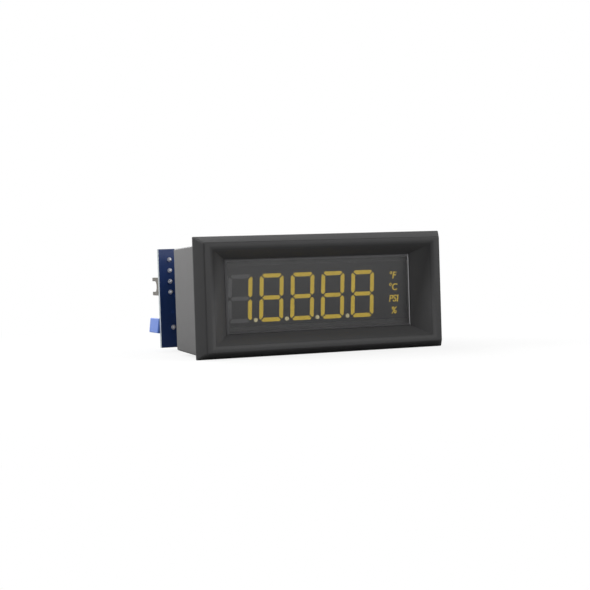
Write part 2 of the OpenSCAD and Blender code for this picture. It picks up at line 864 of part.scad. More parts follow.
module at_trimmer() {
    translate([trimmer_x, 0, axis_z - trimmer_z]) rotate([0, trimmer_lean, 0]) children();
}

module trimmer_body() {
    color("#7fa3ea") at_trimmer() difference() {
        union() {
            slab(trimmer_l, trimmer_w, trimmer_y, rear_back + trimmer_h);
            for (s = [-1, 1]) slab(0.8, trimmer_w, rear_back, trimmer_y,
                s * (trimmer_l - 0.8) / 2);
        }
        rod(adjust_r + running, rear_back + trimmer_h - adjust_deep,
            rear_back + trimmer_h + overcut, adjust_x);
        for (p = trimmer_pins_at) slab(pin_side, pin_side, trimmer_y - overcut,
            trimmer_y + 1, p[0], p[1]);
    }
}

module trimmer_pins() {
    color("#c6c9cc") at_trimmer() for (p = trimmer_pins_at)
        slab(pin_side, pin_side, rear_y - tail, trimmer_y + 1, p[0], p[1]);
}

module trimmer_screw() {
    top = rear_back + trimmer_h + 0.4;
    color("#cfae4f") at_trimmer() difference() {
        rod(adjust_r, top - 0.4 - adjust_deep + running, top, adjust_x);
        slab(2 * adjust_r + overcut, 0.45, top - 0.6, top + overcut, adjust_x);
    }
}

// ---- Terminal block ----

// Outline of the terminal block in Y and Z, taken in on three sides
module block_outline(inset = 0) {
    top = rear_back + block_h - inset;
    low = block_z + inset;
    high = block_z + block_d - inset;
    polygon([[rear_back - inset, low], [top - shoulder_l, low],
        [top - shoulder_l + shoulder, low + shoulder], [top, low + shoulder],
        [top, high - shoulder], [top - shoulder_l + shoulder, high],
        [rear_back - inset, high]]);
}

module terminal_block() {
    color("#2f7d4a") difference() {
        bar(block_w) block_outline();
        for (i = [0:pole_count - 1]) translate([pole_x(i), 0, 0]) pole_cuts();
        for (i = [1:pole_count - 1]) difference() {
            bar(groove_w, pole_x(i) - pole_pitch / 2) block_outline(-overcut);
            bar(groove_w + overcut, pole_x(i) - pole_pitch / 2) block_outline(groove_deep);
        }
    }
}

// Cage chamber, wire entry, contact slot and screw well of one terminal
module pole_cuts() {
    slab(cavity_w, cavity_d, rear_back + cage_low - play, rear_back + roof_low, z = pole_z);
    slab(cavity_w - 2 * cage_side, block_d, rear_back + cage_low + cage_floor,
        rear_back + bar_up - 0.1, z = block_z - block_d / 2 + 2);
    slab(bar_w, leg_t + cavity_d, rear_back + bar_up, rear_back + bar_up + bar_t,
        z = leg_z - cavity_d / 2);
    slab(bar_w, leg_t, rear_back - overcut, rear_back + bar_up + bar_t, z = leg_z);
    rod(clamp_screw_r + play, rear_back + roof_low - overcut, rear_back + block_h,
        z = pole_z);
    rod(clamp_head_r + play, rear_back + roof_low + roof_t, rear_back + block_h + overcut,
        z = pole_z);
}

// Contact bars with their solder legs
module terminal_contacts() {
    reach = cavity_d + leg_t / 2 - 1.2;
    color("#d8d2b8") for (i = [0:pole_count - 1]) translate([pole_x(i), 0, 0]) {
        slab(bar_w, leg_t, rear_y - tail, rear_back + bar_up, z = leg_z);
        slab(bar_w, reach + leg_t / 2, rear_back + bar_up, rear_back + bar_up + bar_t,
            z = leg_z + leg_t / 2 - (reach + leg_t / 2) / 2);
    }
}

// Clamp screw: it turns in place and its tip bears on the contact bar
module clamp_screw(i) {
    head_y = rear_back + roof_low + roof_t + running;
    color("#c6c9cc") translate([pole_x(i), 0, pole_z]) difference() {
        union() {
            rod(clamp_screw_r, rear_back + bar_up + bar_t + running, head_y);
            rod(clamp_head_r, head_y, head_y + head_t);
        }
        slab(2 * clamp_head_r + overcut, 0.6, head_y + head_t - 0.8,
            head_y + head_t + overcut);
    }
}

// Clamp cage: a square tube along Z with a thread for the screw in its thick wall
module clamp_cage(i) {
    low = rear_back + cage_low;
    top = rear_back + cage_top;
    color("#c8a64a") translate([pole_x(i), 0, pole_z]) difference() {
        slab(cage_w, cage_d, low, top);
        slab(cage_w - 2 * cage_side, cage_d + overcut, low + cage_floor, top - cage_nut);
        rod(clamp_screw_r + running, top - cage_nut - overcut / 2, top + overcut);
    }
}

bezel();
window();
front_polarizer();
front_glass();
lit_segments();
unlit_segments();
decimal_points();
rear_glass();
rear_polarizer();
contact_strips();
backlight();
backlight_leds();
display_holder();
display_board();
holder_screws();
board_spacers();
display_header();
display_header_pins();
main_board();
controller_chip();
converter_chip();
voltage_regulator();
crystal();
capacitors();
chip_resistors();
stack_socket();
stack_header();
stack_pins();
standoffs();
standoff_screws();
case();
rear_board();
solder_joints();
link_header();
link_pins();
jumper_link();
link_contact();
trimmer_body();
trimmer_pins();
trimmer_screw();
terminal_block();
terminal_contacts();
clamp_screw(0);  // terminal_screw_1
clamp_screw(1);  // terminal_screw_2
clamp_screw(2);  // terminal_screw_3
clamp_screw(3);  // terminal_screw_4
clamp_cage(0);  // terminal_cage_1
clamp_cage(1);  // terminal_cage_2
clamp_cage(2);  // terminal_cage_3
clamp_cage(3);  // terminal_cage_4
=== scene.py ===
"""Looks of a digital panel meter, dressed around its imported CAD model.

The CAD nodes give every size and place. This script gives each of them a finish, replaces the
ones that are seen with softened or reworked copies, and adds the tracks, legends and unit marks.
Lengths are metres in the frame of the part: +Z up, +X right from the front, +Y to the back.
"""

import json
import logging
import math
from dataclasses import dataclass, field
from enum import Enum
from typing import Callable, Iterable, Sequence

import bmesh
import bpy
from mathutils import Matrix, Vector


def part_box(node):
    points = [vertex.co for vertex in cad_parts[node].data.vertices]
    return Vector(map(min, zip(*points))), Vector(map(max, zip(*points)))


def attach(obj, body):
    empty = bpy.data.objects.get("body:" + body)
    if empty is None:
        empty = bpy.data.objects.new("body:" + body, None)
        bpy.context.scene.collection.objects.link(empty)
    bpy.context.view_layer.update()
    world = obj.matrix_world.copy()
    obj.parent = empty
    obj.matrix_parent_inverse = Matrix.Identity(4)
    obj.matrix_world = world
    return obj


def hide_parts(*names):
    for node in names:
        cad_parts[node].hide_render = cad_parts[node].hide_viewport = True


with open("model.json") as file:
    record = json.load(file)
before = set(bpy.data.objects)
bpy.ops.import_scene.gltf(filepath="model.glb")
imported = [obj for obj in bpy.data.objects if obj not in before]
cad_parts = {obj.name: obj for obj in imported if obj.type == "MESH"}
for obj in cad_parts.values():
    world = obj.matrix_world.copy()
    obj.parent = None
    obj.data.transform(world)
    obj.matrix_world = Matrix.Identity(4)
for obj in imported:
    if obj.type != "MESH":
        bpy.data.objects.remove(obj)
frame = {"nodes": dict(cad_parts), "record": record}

LOG = logging.getLogger("panel_meter")
MM = 0.001
BODY = "meter"
WHITE = (1.0, 1.0, 1.0, 1.0)
Colour = tuple[float, float, float]
Point = tuple[float, float]
Mesh = bmesh.types.BMesh
Edge = bmesh.types.BMEdge
EdgeTest = Callable[[Edge], bool]
Piece = bpy.types.Object
Tree = bpy.types.NodeTree
Socket = bpy.types.NodeSocket


class Face(Enum):
    """The two sides of a circuit board."""

    FRONT = -1
    BACK = 1


# ---- Node trees ----


class Wiring:
    """A node tree that is built node by node."""

    def __init__(self, tree: Tree) -> None:
        """Keeps the tree."""
        self.tree = tree

    def add(
        self, kind: str, feeds: dict[str | int, object] | None = None, **settings: object
    ) -> bpy.types.ShaderNode:
        """Adds a node, sets its properties and feeds its inputs.

        Args:
            kind: The node's type without its ShaderNode prefix.
            feeds: For each input, the socket that feeds it or its plain value.
            **settings: Properties of the node.

        Returns:
            The new node.
        """
        node = self.tree.nodes.new("ShaderNode" + kind)
        for key, value in settings.items():
            setattr(node, key, value)
        for key, source in (feeds or {}).items():
            self.feed(node.inputs[key], source)
        return node

    def feed(self, socket: Socket, source: object) -> None:
        """Links an input to its source, or gives it a plain value.

        Args:
            socket: The input.
            source: An output of another node, or a value.
        """
        if isinstance(source, bpy.types.NodeSocket):
            self.tree.links.new(source, socket)
        else:
            socket.default_value = source

    def ramp(self, source: Socket, span: Point, values: Point) -> Socket:
        """Adds a smooth change from one value to another over a span of the source.

        Args:
            source: What the value follows.
            span: The source's values at the start and the end of the change.
            values: The values before and after it.

        Returns:
            The socket of the value.
        """
        ends = dict(zip(("From Min", "From Max", "To Min", "To Max"), (*span, *values)))
        node = self.add("MapRange", {"Value": source, **ends}, interpolation_type="SMOOTHSTEP")
        return node.outputs["Result"]


class Group(Wiring):
    """A shader node group with named sockets."""

    def __init__(self, name: str, takes: dict[str, object], gives: dict[str, str]) -> None:
        """Starts an empty group.

        Args:
            name: Name of the group.
            takes: Each input's value: a number, three of them or a colour with its alpha.
            gives: Each output's type, such as Float or Color.
        """
        super().__init__(bpy.data.node_groups.new(name, "ShaderNodeTree"))
        entry = self.tree.nodes.new("NodeGroupInput")
        self.end = self.tree.nodes.new("NodeGroupOutput")
        sockets = self.tree.interface
        for key, value in takes.items():
            kind = {3: "Vector", 4: "Color"}[len(value)] if isinstance(value, tuple) else "Float"
            taken = sockets.new_socket(key, in_out="INPUT", socket_type="NodeSocket" + kind)
            taken.default_value = value
        for key, kind in gives.items():
            sockets.new_socket(key, in_out="OUTPUT", socket_type="NodeSocket" + kind)
        self.taken = entry.outputs

    def finish(self, **results: Socket) -> Tree:
        """Links the outputs to what feeds them.

        Args:
            **results: The socket that feeds each output.

        Returns:
            The finished group.
        """
        for key, source in results.items():
            self.feed(self.end.inputs[key], source)
        return self.tree


def grain_group() -> Tree:
    """Fine grain and broad patches of a surface, in the part's own coordinates.

    Returns:
        A group that gives a colour, a roughness and a height.
    """
    group = Group(
        "Surface grain",
        {
            "Colour": (0.5, 0.5, 0.5, 1.0),
            "Mottle": 0.1,
            "Roughness": 0.4,
            "Spread": 0.1,
            "Grain": 4000.0,
            "Patches": 90.0,
            "Stretch": (1.0, 1.0, 1.0),
        },
        {"Colour": "Color", "Roughness": "Float", "Height": "Float"},
    )
    taken = group.taken
    place = group.add("TexCoord").outputs["Object"]
    stretched = group.add("VectorMath", {0: place, 1: taken["Stretch"]}, operation="MULTIPLY")
    fine, broad = (
        group.add("TexNoise", {"Vector": vector, "Scale": taken[scale], "Detail": detail})
        for vector, scale, detail in ((stretched.outputs[0], "Grain", 3.0), (place, "Patches", 2.0))
    )

    def around(source: Socket, amount: str) -> Socket:
        """Makes a value that swings about one.

        Args:
            source: What it follows, from 0 to 1.
            amount: Name of the input that gives its swing.

        Returns:
            The socket of the value.
        """
        centred = group.add("Math", {0: source, 1: 0.5}, operation="SUBTRACT")
        feeds = {0: centred.outputs[0], 1: taken[amount], 2: 1.0}
        return group.add("Math", feeds, operation="MULTIPLY_ADD").outputs[0]

    tone = group.add(
        "VectorMath",
        {0: taken["Colour"], "Scale": around(broad.outputs["Fac"], "Mottle")},
        operation="SCALE",
    )
    rough = group.add(
        "Math",
        {0: taken["Roughness"], 1: around(fine.outputs["Fac"], "Spread")},
        operation="MULTIPLY",
        use_clamp=True,
    )
    return group.finish(
        Colour=tone.outputs[0], Roughness=rough.outputs[0], Height=fine.outputs["Fac"]
    )


FACE_TILT = 0.6


def laminate_group() -> Tree:
    """Solder mask on a board's two faces, and bare glass-epoxy on its sawn edges.

    Returns:
        A group that gives a colour and the height of the glass weave.
    """
    group = Group(
        "Board laminate",
        {"Mask colour": (0.02, 0.05, 0.3, 1.0), "Edge colour": (0.5, 0.55, 0.6, 1.0), "Weave": 900.0},
        {"Colour": "Color", "Height": "Float"},
    )
    place = group.add("TexCoord").outputs
    facing = group.add("SeparateXYZ", {0: place["Normal"]}).outputs["Y"]
    along = group.add("Math", {0: facing}, operation="ABSOLUTE")
    edge = group.add("Math", {0: along.outputs[0], 1: FACE_TILT}, operation="LESS_THAN")
    warp, weft = (
        group.add(
            "TexWave",
            {"Vector": place["Object"], "Scale": group.taken["Weave"], "Distortion": 0.6},
            bands_direction=axis,
        )
        for axis in "XZ"
    )
    weave = group.add("Math", {0: warp.outputs["Fac"], 1: weft.outputs["Fac"]}, operation="MULTIPLY")
    shade = group.add("MapRange", {"Value": weave.outputs[0], "To Min": 0.88, "To Max": 1.16})
    mask = group.add(
        "VectorMath",
        {0: group.taken["Mask colour"], "Scale": shade.outputs["Result"]},
        operation="SCALE",
    )
    mix = group.add(
        "Mix",
        {"Factor": edge.outputs[0], "A": mask.outputs[0], "B": group.taken["Edge colour"]},
        data_type="RGBA",
    )
    return group.finish(Colour=mix.outputs["Result"], Height=weave.outputs[0])


class SharedGroups:
    """The node groups that several finishes share, each built once."""

    _made: dict[str, Tree] = {}

    @classmethod
    def get(cls, maker: Callable[[], Tree]) -> Tree:
        """Gives the group of a maker, built at the first call.

        Args:
            maker: The function that builds the group.

        Returns:
            The group.
        """
        if maker.__name__ not in cls._made:
            cls._made[maker.__name__] = maker()
        return cls._made[maker.__name__]


# ---- Finishes ----


@dataclass(frozen=True)
class Finish:
    """One procedural surface finish: a base, its grain, and how it takes the light."""

    colour: Colour
    roughness: float
    mottle: float = 0.12
    spread: float = 0.25
    grain: float = 5000.0
    patches: float = 90.0
    stretch: tuple[float, float, float] = (1.0, 1.0, 1.0)
    bump: float = 0.004
    metallic: float = 0.0
    coat: float = 0.0
    specular: float = 0.5
    alpha: float = 1.0
    glow: float = 0.0

    def material(self, name: str) -> bpy.types.Material:
        """Builds the material.

        Args:
            name: Name of the material.

        Returns:
            The new material.
        """
        made = bpy.data.materials.new(name)
        made.use_nodes = True
        made.diffuse_color = (*self.colour, 1.0)
        wiring = Wiring(made.node_tree)
        shader = next(n for n in made.node_tree.nodes if n.type == "BSDF_PRINCIPLED")
        colour, roughness, height = self.surface(wiring)
        bump = wiring.add("Bump", {"Distance": self.bump * MM, "Height": height})
        feeds = {
            "Base Color": colour,
            "Roughness": roughness,
            "Normal": bump.outputs["Normal"],
            "Metallic": self.metallic,
            "Coat Weight": self.coat,
            "Specular IOR Level": self.specular,
            "Alpha": self.alpha,
        }
        if self.glow:
            feeds |= {"Emission Color": colour, "Emission Strength": self.glow}
        for key, source in feeds.items():
            wiring.feed(shader.inputs[key], source)
        return made

    def surface(self, wiring: Wiring) -> tuple[Socket, Socket, Socket]:
        """Places the grain group.

        Args:
            wiring: The material's node tree.

        Returns:
            The sockets of the colour, the roughness and the height.
        """
        feeds = {
            "Colour": (*self.colour, 1.0),
            "Mottle": self.mottle,
            "Roughness": self.roughness,
            "Spread": self.spread,
            "Grain": self.grain,
            "Patches": self.patches,
            "Stretch": self.stretch,
        }
        given = wiring.add("Group", feeds, node_tree=SharedGroups.get(grain_group)).outputs
        return given["Colour"], given["Roughness"], given["Height"]


@dataclass(frozen=True)
class Laminate(Finish):
    """A circuit board: glossy solder mask over a glass weave, with pale sawn edges."""

    edge: Colour = (0.42, 0.47, 0.50)
    weave: float = 900.0

    def surface(self, wiring: Wiring) -> tuple[Socket, Socket, Socket]:
        """Places the laminate group before the grain group.

        Args:
            wiring: The material's node tree.

        Returns:
            The sockets of the colour, the roughness and the height.
        """
        colour, roughness, _ = super().surface(wiring)
        feeds = {
            "Mask colour": (*self.colour, 1.0),
            "Edge colour": (*self.edge, 1.0),
            "Weave": self.weave,
        }
        board = wiring.add("Group", feeds, node_tree=SharedGroups.get(laminate_group)).outputs
        wiring.feed(colour.node.inputs["Colour"], board["Colour"])
        return colour, roughness, board["Height"]


TURNED = {"stretch": (1.0, 12.0, 1.0), "metallic": 1.0}
DRAWN = {"stretch": (12.0, 1.0, 1.0), "metallic": 1.0}
MOULDED = {"spread": 0.30, "grain": 6500, "bump": 0.005, "specular": 0.3}
EVEN = {"spread": 0.0, "bump": 0.0}
FLAWLESS = {"mottle": 0.0, **EVEN}
POLISHED = {"mottle": 0.02, **EVEN}

FINISHES: dict[str, Finish] = {
    "black_plastic": Finish((0.034, 0.034, 0.035), 0.52, **MOULDED),
    "case_plastic": Finish((0.084, 0.082, 0.082), 0.33, spread=0.35, grain=5200, bump=0.008),
    "tinted_window": Finish((0.047, 0.047, 0.048), 0.30, **POLISHED, alpha=0.30),
    "polarizer_film": Finish((0.012, 0.012, 0.014), 0.3, **FLAWLESS, alpha=0.05),
    "display_glass": Finish((0.05, 0.055, 0.055), 0.12, **FLAWLESS, alpha=0.02),
    "lit_yellow": Finish((0.68, 0.475, 0.018), 0.5, mottle=0.18, patches=260, glow=1.18),
    "lit_point": Finish((0.72, 0.63, 0.34), 0.5, mottle=0.18, patches=260, glow=1.0),
    "unlit_grey": Finish((0.095, 0.096, 0.099), 0.5, glow=0.62),
    "strip_rubber": Finish((0.010, 0.010, 0.011), 0.6, **FLAWLESS),
    "backlight_acrylic": Finish((0.70, 0.66, 0.54), 0.35, bump=0.002),
    "led_resin": Finish((0.75, 0.58, 0.14), 0.2, bump=0.002, coat=0.4),
    "holder_plastic": Finish((0.018, 0.018, 0.020), 0.5, **EVEN),
    "green_laminate": Laminate((0.012, 0.075, 0.035), 0.28, bump=0.006, edge=(0.42, 0.43, 0.26)),
    "blue_laminate": Laminate((0.011, 0.036, 0.150), 0.36, coat=0.05),
    "screw_steel": Finish((0.58, 0.58, 0.60), 0.30, **TURNED),
    "clamp_steel": Finish((0.56, 0.56, 0.57), 0.34, **TURNED),
    "white_nylon": Finish((0.66, 0.65, 0.60), 0.45),
    "header_plastic": Finish((0.016, 0.016, 0.017), 0.45, grain=5200, bump=0.008),
    "gold_pin": Finish((0.72, 0.52, 0.20), 0.22, **TURNED, bump=0.002),
    "chip_epoxy": Finish((0.022, 0.022, 0.024), 0.55, grain=9000, bump=0.006),
    "resistor_ceramic": Finish((0.030, 0.030, 0.034), 0.35),
    "crystal_can": Finish((0.60, 0.61, 0.62), 0.26, **DRAWN, bump=0.003),
    "capacitor_sleeve": Finish((0.020, 0.036, 0.11), 0.30, bump=0.003, coat=0.3),
    "standoff_brass": Finish((0.68, 0.50, 0.22), 0.30, **TURNED, bump=0.005),
    "solder": Finish((0.86, 0.86, 0.90), 0.34, grain=2600, mottle=0.2, metallic=0.60, bump=0.005),
    "link_plastic": Finish((0.150, 0.138, 0.120), 0.45, grain=5200, bump=0.008),
    "trimmer_blue": Finish((0.100, 0.205, 0.630), 0.38, grain=5200, bump=0.005),
    "adjust_brass": Finish((0.70, 0.52, 0.22), 0.28, **TURNED),
    "terminal_green": Finish((0.020, 0.190, 0.070), 0.42, grain=5200, bump=0.007),
    "contact_brass": Finish((0.66, 0.62, 0.50), 0.28, **DRAWN, bump=0.003),
    "cage_brass": Finish((0.70, 0.52, 0.21), 0.30, **DRAWN),
}

EXTRA_FINISHES: dict[str, Finish] = {
    "blue_track": Finish((0.016, 0.048, 0.200), 0.28, **EVEN, coat=0.1),
    "green_track": Finish((0.030, 0.140, 0.060), 0.26, **EVEN),
    "legend_ink": Finish((0.70, 0.70, 0.68), 0.6, **EVEN),
    # painted light: a lighter copy of black_plastic on the shaded slopes round the window
    "recess_painted_light": Finish((0.046, 0.046, 0.047), 0.56, **MOULDED),
    # painted highlights: the window's chamfer is lighter than the window, and its right-facing faces
    # lighter still
    "window_chamfer": Finish((0.16, 0.16, 0.165), 0.25, **POLISHED, alpha=0.8),
    "window_edge_painted_highlight": Finish((0.42, 0.42, 0.43), 0.25, **POLISHED, alpha=0.9),
    "rear_film": Finish((0.010, 0.010, 0.011), 0.6, **FLAWLESS),
    "tinned_lead": Finish((0.66, 0.67, 0.68), 0.32, **DRAWN, bump=0.003),
    "capacitor_top": Finish((0.62, 0.63, 0.64), 0.32, metallic=1.0),
}


class Palette:
    """The materials, by the name of the record's slot or of the extra finish."""

    def __init__(self) -> None:
        """Builds every material once."""
        self.by_name = {
            name: finish.material(name) for name, finish in {**FINISHES, **EXTRA_FINISHES}.items()
        }
        self.slot_of = {s["node"]: s["material_slot"] for s in frame["record"]["subparts"]}

    def dress_nodes(self) -> None:
        """Gives every CAD node the finish of its slot."""
        for name, node in frame["nodes"].items():
            self.apply(node, self.slot_of[name])

    def apply(self, piece: Piece, name: str) -> None:
        """Gives a piece one finish in place of any that it has."""
        piece.data.materials.clear()
        piece.data.materials.append(self.by_name[name])


# ---- Mesh tools ----


def longer_than(length: float) -> EdgeTest:
    """A test that passes the edges longer than a length in metres."""
    return lambda edge: edge.calc_length() > length


@dataclass(frozen=True)
class Rounding:
    """One pass of edge rounding: a radius and the edges that take it."""

    radius: float
    segments: int = 2
    chosen: EdgeTest = longer_than(0.0)
    angle: float = 25.0


@dataclass(frozen=True)
class Box:
    """An upright box, from its lowest to its highest corner."""

    low: Vector
    high: Vector

    @property
    def middle(self) -> Vector:
        """Centre of the box."""
        return (self.low + self.high) / 2

    @property
    def size(self) -> Vector:
        """Lengths of the box's sides."""
        return self.high - self.low


def box_of(node: str) -> Box:
    """Box of a CAD node at rest."""
    return Box(*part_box(node))


def box_round(points: Sequence[Vector]) -> Box:
    """Smallest box round some points."""
    return Box(*(Vector(pick(p[i] for p in points) for i in range(3)) for pick in (min, max)))


class Bench:
    """Builds pieces and sets them on their bodies."""

    def __init__(self, palette: Palette) -> None:
        """Keeps the palette for the pieces to come."""
        self.palette = palette
        self.count = 0

    def place(
        self,
        name: str,
        bm: Mesh,
        finish: str,
        body: str = BODY,
        slot: str | None = None,
        instead_of: Sequence[str] = (),
        smooth_to: float = 40.0,
    ) -> Piece:
        """Turns a mesh into a piece that rides on a body.

        Args:
            name: Name of the piece.
            bm: Its mesh, which is freed.
            finish: Name of its finish.
            body: The CAD body that it moves with.
            slot: The record's slot, where it isn't the finish's own name; not used.
            instead_of: CAD nodes that it stands for.
            smooth_to: Edges up to this angle, in degrees, are shaded smooth.

        Returns:
            The new object.
        """
        bmesh.ops.recalc_face_normals(bm, faces=bm.faces)
        mesh = bpy.data.meshes.new(name)
        bm.to_mesh(mesh)
        bm.free()
        mesh.polygons.foreach_set("use_smooth", [True] * len(mesh.polygons))
        mesh.set_sharp_from_angle(angle=math.radians(smooth_to))
        piece = bpy.data.objects.new(name, mesh)
        bpy.context.scene.collection.objects.link(piece)
        weighted = piece.modifiers.new("even_shading", "WEIGHTED_NORMAL")
        weighted.keep_sharp = True
        weighted.weight = 100
        bpy.context.view_layer.update()
        evaluated = piece.evaluated_get(bpy.context.evaluated_depsgraph_get())
        piece.data = bpy.data.meshes.new_from_object(evaluated)
        piece.data.name = name
        piece.modifiers.clear()
        self.palette.apply(piece, finish)
        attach(piece, body)
        slot or finish
        if instead_of:
            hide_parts(*instead_of)
        self.count += 1
        LOG.info("%s: %d faces on %s", name, len(piece.data.polygons), body)
        return piece

    def soften(self, node: str, *rounds: Rounding, body: str = BODY, inset: float = 0.0) -> Piece:
        """Replaces a CAD node with a copy whose edges are rounded.

        Args:
            node: The CAD node.
            *rounds: The passes of rounding, in order.
            body: The body that it rides on.
            inset: How far its front and back are taken in, so that it clears its neighbours.

        Returns:
            The new piece.
        """
        bm = clean_copy(node)
        if inset:
            box = box_of(node)
            for vert in bm.verts:
                vert.co.y += inset if vert.co.y < box.middle.y else -inset
        for one in rounds:
            round_edges(bm, one)
        slot = self.palette.slot_of[node]
        return self.place(f"{node}_finished", bm, slot, body, instead_of=[node])

    def paint(self, piece: Piece, finish: str, chosen: Callable[[Vector], bool]) -> None:
        """Gives a second finish to some faces of a piece.

        Args:
            piece: The piece.
            finish: Name of the second finish.
            chosen: A test that a face's centre passes where the face takes it.
        """
        piece.data.materials.append(self.palette.by_name[finish])
        last = len(piece.data.materials) - 1
        for face in piece.data.polygons:
            if chosen(face.center):
                face.material_index = last


SAME_PLACE = 2e-6
STILL_FLAT = math.radians(0.5)


def clean_copy(node: str) -> Mesh:
    """Copies a CAD node's mesh with shared corners and whole flat faces.

    Args:
        node: The CAD node.

    Returns:
        The new mesh.
    """
    bm = bmesh.new()
    bm.from_mesh(frame["nodes"][node].data)
    bmesh.ops.remove_doubles(bm, verts=bm.verts, dist=SAME_PLACE)
    bmesh.ops.dissolve_limit(
        bm, angle_limit=STILL_FLAT, verts=bm.verts, edges=bm.edges, delimit=set()
    )
    return bm


def round_edges(bm: Mesh, how: Rounding) -> None:
    """Rounds the chosen edges that are sharper than the pass's angle.

    Args:
        bm: The mesh.
        how: The pass.
    """
    limit = math.radians(how.angle)
    edges = [
        e
        for e in bm.edges
        if len(e.link_faces) == 2 and e.calc_face_angle(0.0) > limit and how.chosen(e)
    ]
    bmesh.ops.bevel(
        bm,
        geom=edges,
        offset=how.radius,
        offset_type="OFFSET",
        segments=how.segments,
        profile=0.5,
        affect="EDGES",
        clamp_overlap=True,
    )
    bmesh.ops.remove_doubles(bm, verts=bm.verts, dist=SAME_PLACE / 2)


def islands(node: str) -> list[Box]:
    """Finds the separate solids of a CAD node.

    Args:
        node: The CAD node.

    Returns:
        Their boxes, sorted along X and then Z.
    """
    bm = clean_copy(node)
    seen: set[int] = set()
    found: list[Box] = []
    bm.verts.ensure_lookup_table()
    for start in bm.verts:
        if start.index in seen:
            continue
        group, queue = [], [start]
        seen.add(start.index)
        while queue:
            vert = queue.pop()
            group.append(vert.co.copy())
            for edge in vert.link_edges:
                other = edge.other_vert(vert)
                if other.index not in seen:
                    seen.add(other.index)
                    queue.append(other)
        found.append(box_round(group))
    bm.free()
    return sorted(found, key=lambda b: (round(b.middle.x, 5), round(b.middle.z, 5)))


def middles(node: str) -> list[Vector]:
    """Centres of the separate solids of a CAD node."""
    return [box.middle for box in islands(node)]


def add_prism(bm: Mesh, outline: Sequence[Point], y0: float, y1: float) -> None:
    """Adds a flat plate.

    Args:
        bm: The mesh.
        outline: Its corners in X and Z.
        y0: Place of its one face along Y.
        y1: Place of its other face.
    """
    rings = [[bm.verts.new((x, y, z)) for x, z in outline] for y in (y0, y1)]
    bm.faces.new(rings[0])
    bm.faces.new(list(reversed(rings[1])))
    count = len(outline)
    for i in range(count):
        j = (i + 1) % count
        bm.faces.new([rings[0][j], rings[0][i], rings[1][i], rings[1][j]])


def add_turned(bm: Mesh, at: Vector, profile: Sequence[Point], sides: int = 28) -> None:
    """Adds a solid turned about a line along Y.

    Args:
        bm: The mesh.
        at: The point on the axis that the profile starts from.
        profile: Pairs of radius and distance along Y, from one end to the other.
        sides: Number of sides.
    """
    rings = []
    for radius, along in profile:
        ring = []
        for k in range(sides):
            turn = 2 * math.pi * k / sides
            offset = (radius * math.cos(turn), along, radius * math.sin(turn))
            ring.append(bm.verts.new(at + Vector(offset)))
        rings.append(ring)
    for low, high in zip(rings, rings[1:]):
        for k in range(sides):
            j = (k + 1) % sides
            bm.faces.new([low[k], low[j], high[j], high[k]])
    bm.faces.new(rings[0])
    bm.faces.new(list(reversed(rings[-1])))


@dataclass(frozen=True)
class CrossHead:
    """A domed screw head with a cross recess, in shares of its radius and its height."""

    arm: float = 0.52
    half_width: float = 0.12
    recess_floor: float = 0.35
    dome: tuple[Point, ...] = (
        (0.66, 1.0),
        (0.80, 0.93),
        (0.91, 0.78),
        (0.98, 0.52),
        (1.0, 0.24),
        (1.0, 0.0),
    )

    def add(self, bm: Mesh, at: Vector, radius: float, height: float, side: float) -> None:
        """Adds the head to a mesh.

        Args:
            bm: The mesh.
            at: Centre of the head's underside.
            radius: Radius of the head.
            height: Height of the head.
            side: 1 where the head faces the back, -1 where it faces the front.
        """
        sides = 36

        def loop(outline: Sequence[Point], along: float) -> list[bmesh.types.BMVert]:
            """Corners of an outline at a height above the underside."""
            return [bm.verts.new(at + Vector((x, side * along, z))) for x, z in outline]

        cross = self.cross(radius)
        step = 360.0 / sides
        turns = [math.radians(step * (k - 1.5)) for k in range(sides)]
        rings = []
        for share, up in self.dome:
            reach = radius * share
            rings.append(loop([(reach * math.cos(a), reach * math.sin(a)) for a in turns], height * up))
        upper, lower = loop(cross, height), loop(cross, height * self.recess_floor)
        for k in range(len(cross)):
            j = (k + 1) % len(cross)
            spread = [rings[0][(3 * k + n) % sides] for n in range(4)]
            bm.faces.new([upper[j], upper[k], *spread])
            bm.faces.new([upper[k], upper[j], lower[j], lower[k]])
        for outer, inner in zip(rings[1:], rings):
            for k in range(sides):
                j = (k + 1) % sides
                bm.faces.new([inner[k], inner[j], outer[j], outer[k]])
        bm.faces.new(lower)
        bm.faces.new(rings[-1])

    def cross(self, radius: float) -> list[Point]:
        """Draws the recess.

        Args:
            radius: Radius of the head.

        Returns:
            The twelve corners of its outline, arm by arm.
        """
        arm, half = radius * self.arm, radius * self.half_width
        corners: list[Point] = []
        for cos, sin in ((1, 0), (0, 1), (-1, 0), (0, -1)):
            for x, z in ((arm, -half), (arm, half), (half, half)):
                corners.append((x * cos - z * sin, x * sin + z * cos))
        return corners


def ribbon(points: Sequence[Point], width: float) -> list[Point]:
    """Draws a track of even width along a bent line, with square ends.

    Args:
        points: The line's corners.
        width: Width of the track.

    Returns:
        The track's outline.
    """
    left: list[Point] = []
    right: list[Point] = []
    for i, (x, z) in enumerate(points):
        before = Vector((x - points[i - 1][0], z - points[i - 1][1])) if i else None
        after = None
        if i < len(points) - 1:
            after = Vector((points[i + 1][0] - x, points[i + 1][1] - z))
        first = (before or after).normalized()
        last = (after or before).normalized()
        along = (first + last).normalized()
        reach = width / 2 / max(along.dot(first), 0.5)
        side = Vector((-along.y, along.x)) * reach
        left.append((x + side.x, z + side.y))
        right.append((x - side.x, z - side.y))
    return left + right[::-1]


def rectangle(low: Point, high: Point) -> list[Point]:
    """Outline of a rectangle between two corners."""
    return [low, (high[0], low[1]), high, (low[0], high[1])]


def ring_outline(x: float, z: float, radius: float, sides: int) -> list[Point]:
    """Round outline about a point."""
    turns = [2 * math.pi * k / sides for k in range(sides)]
    return [(x + radius * math.cos(t), z + radius * math.sin(t)) for t in turns]


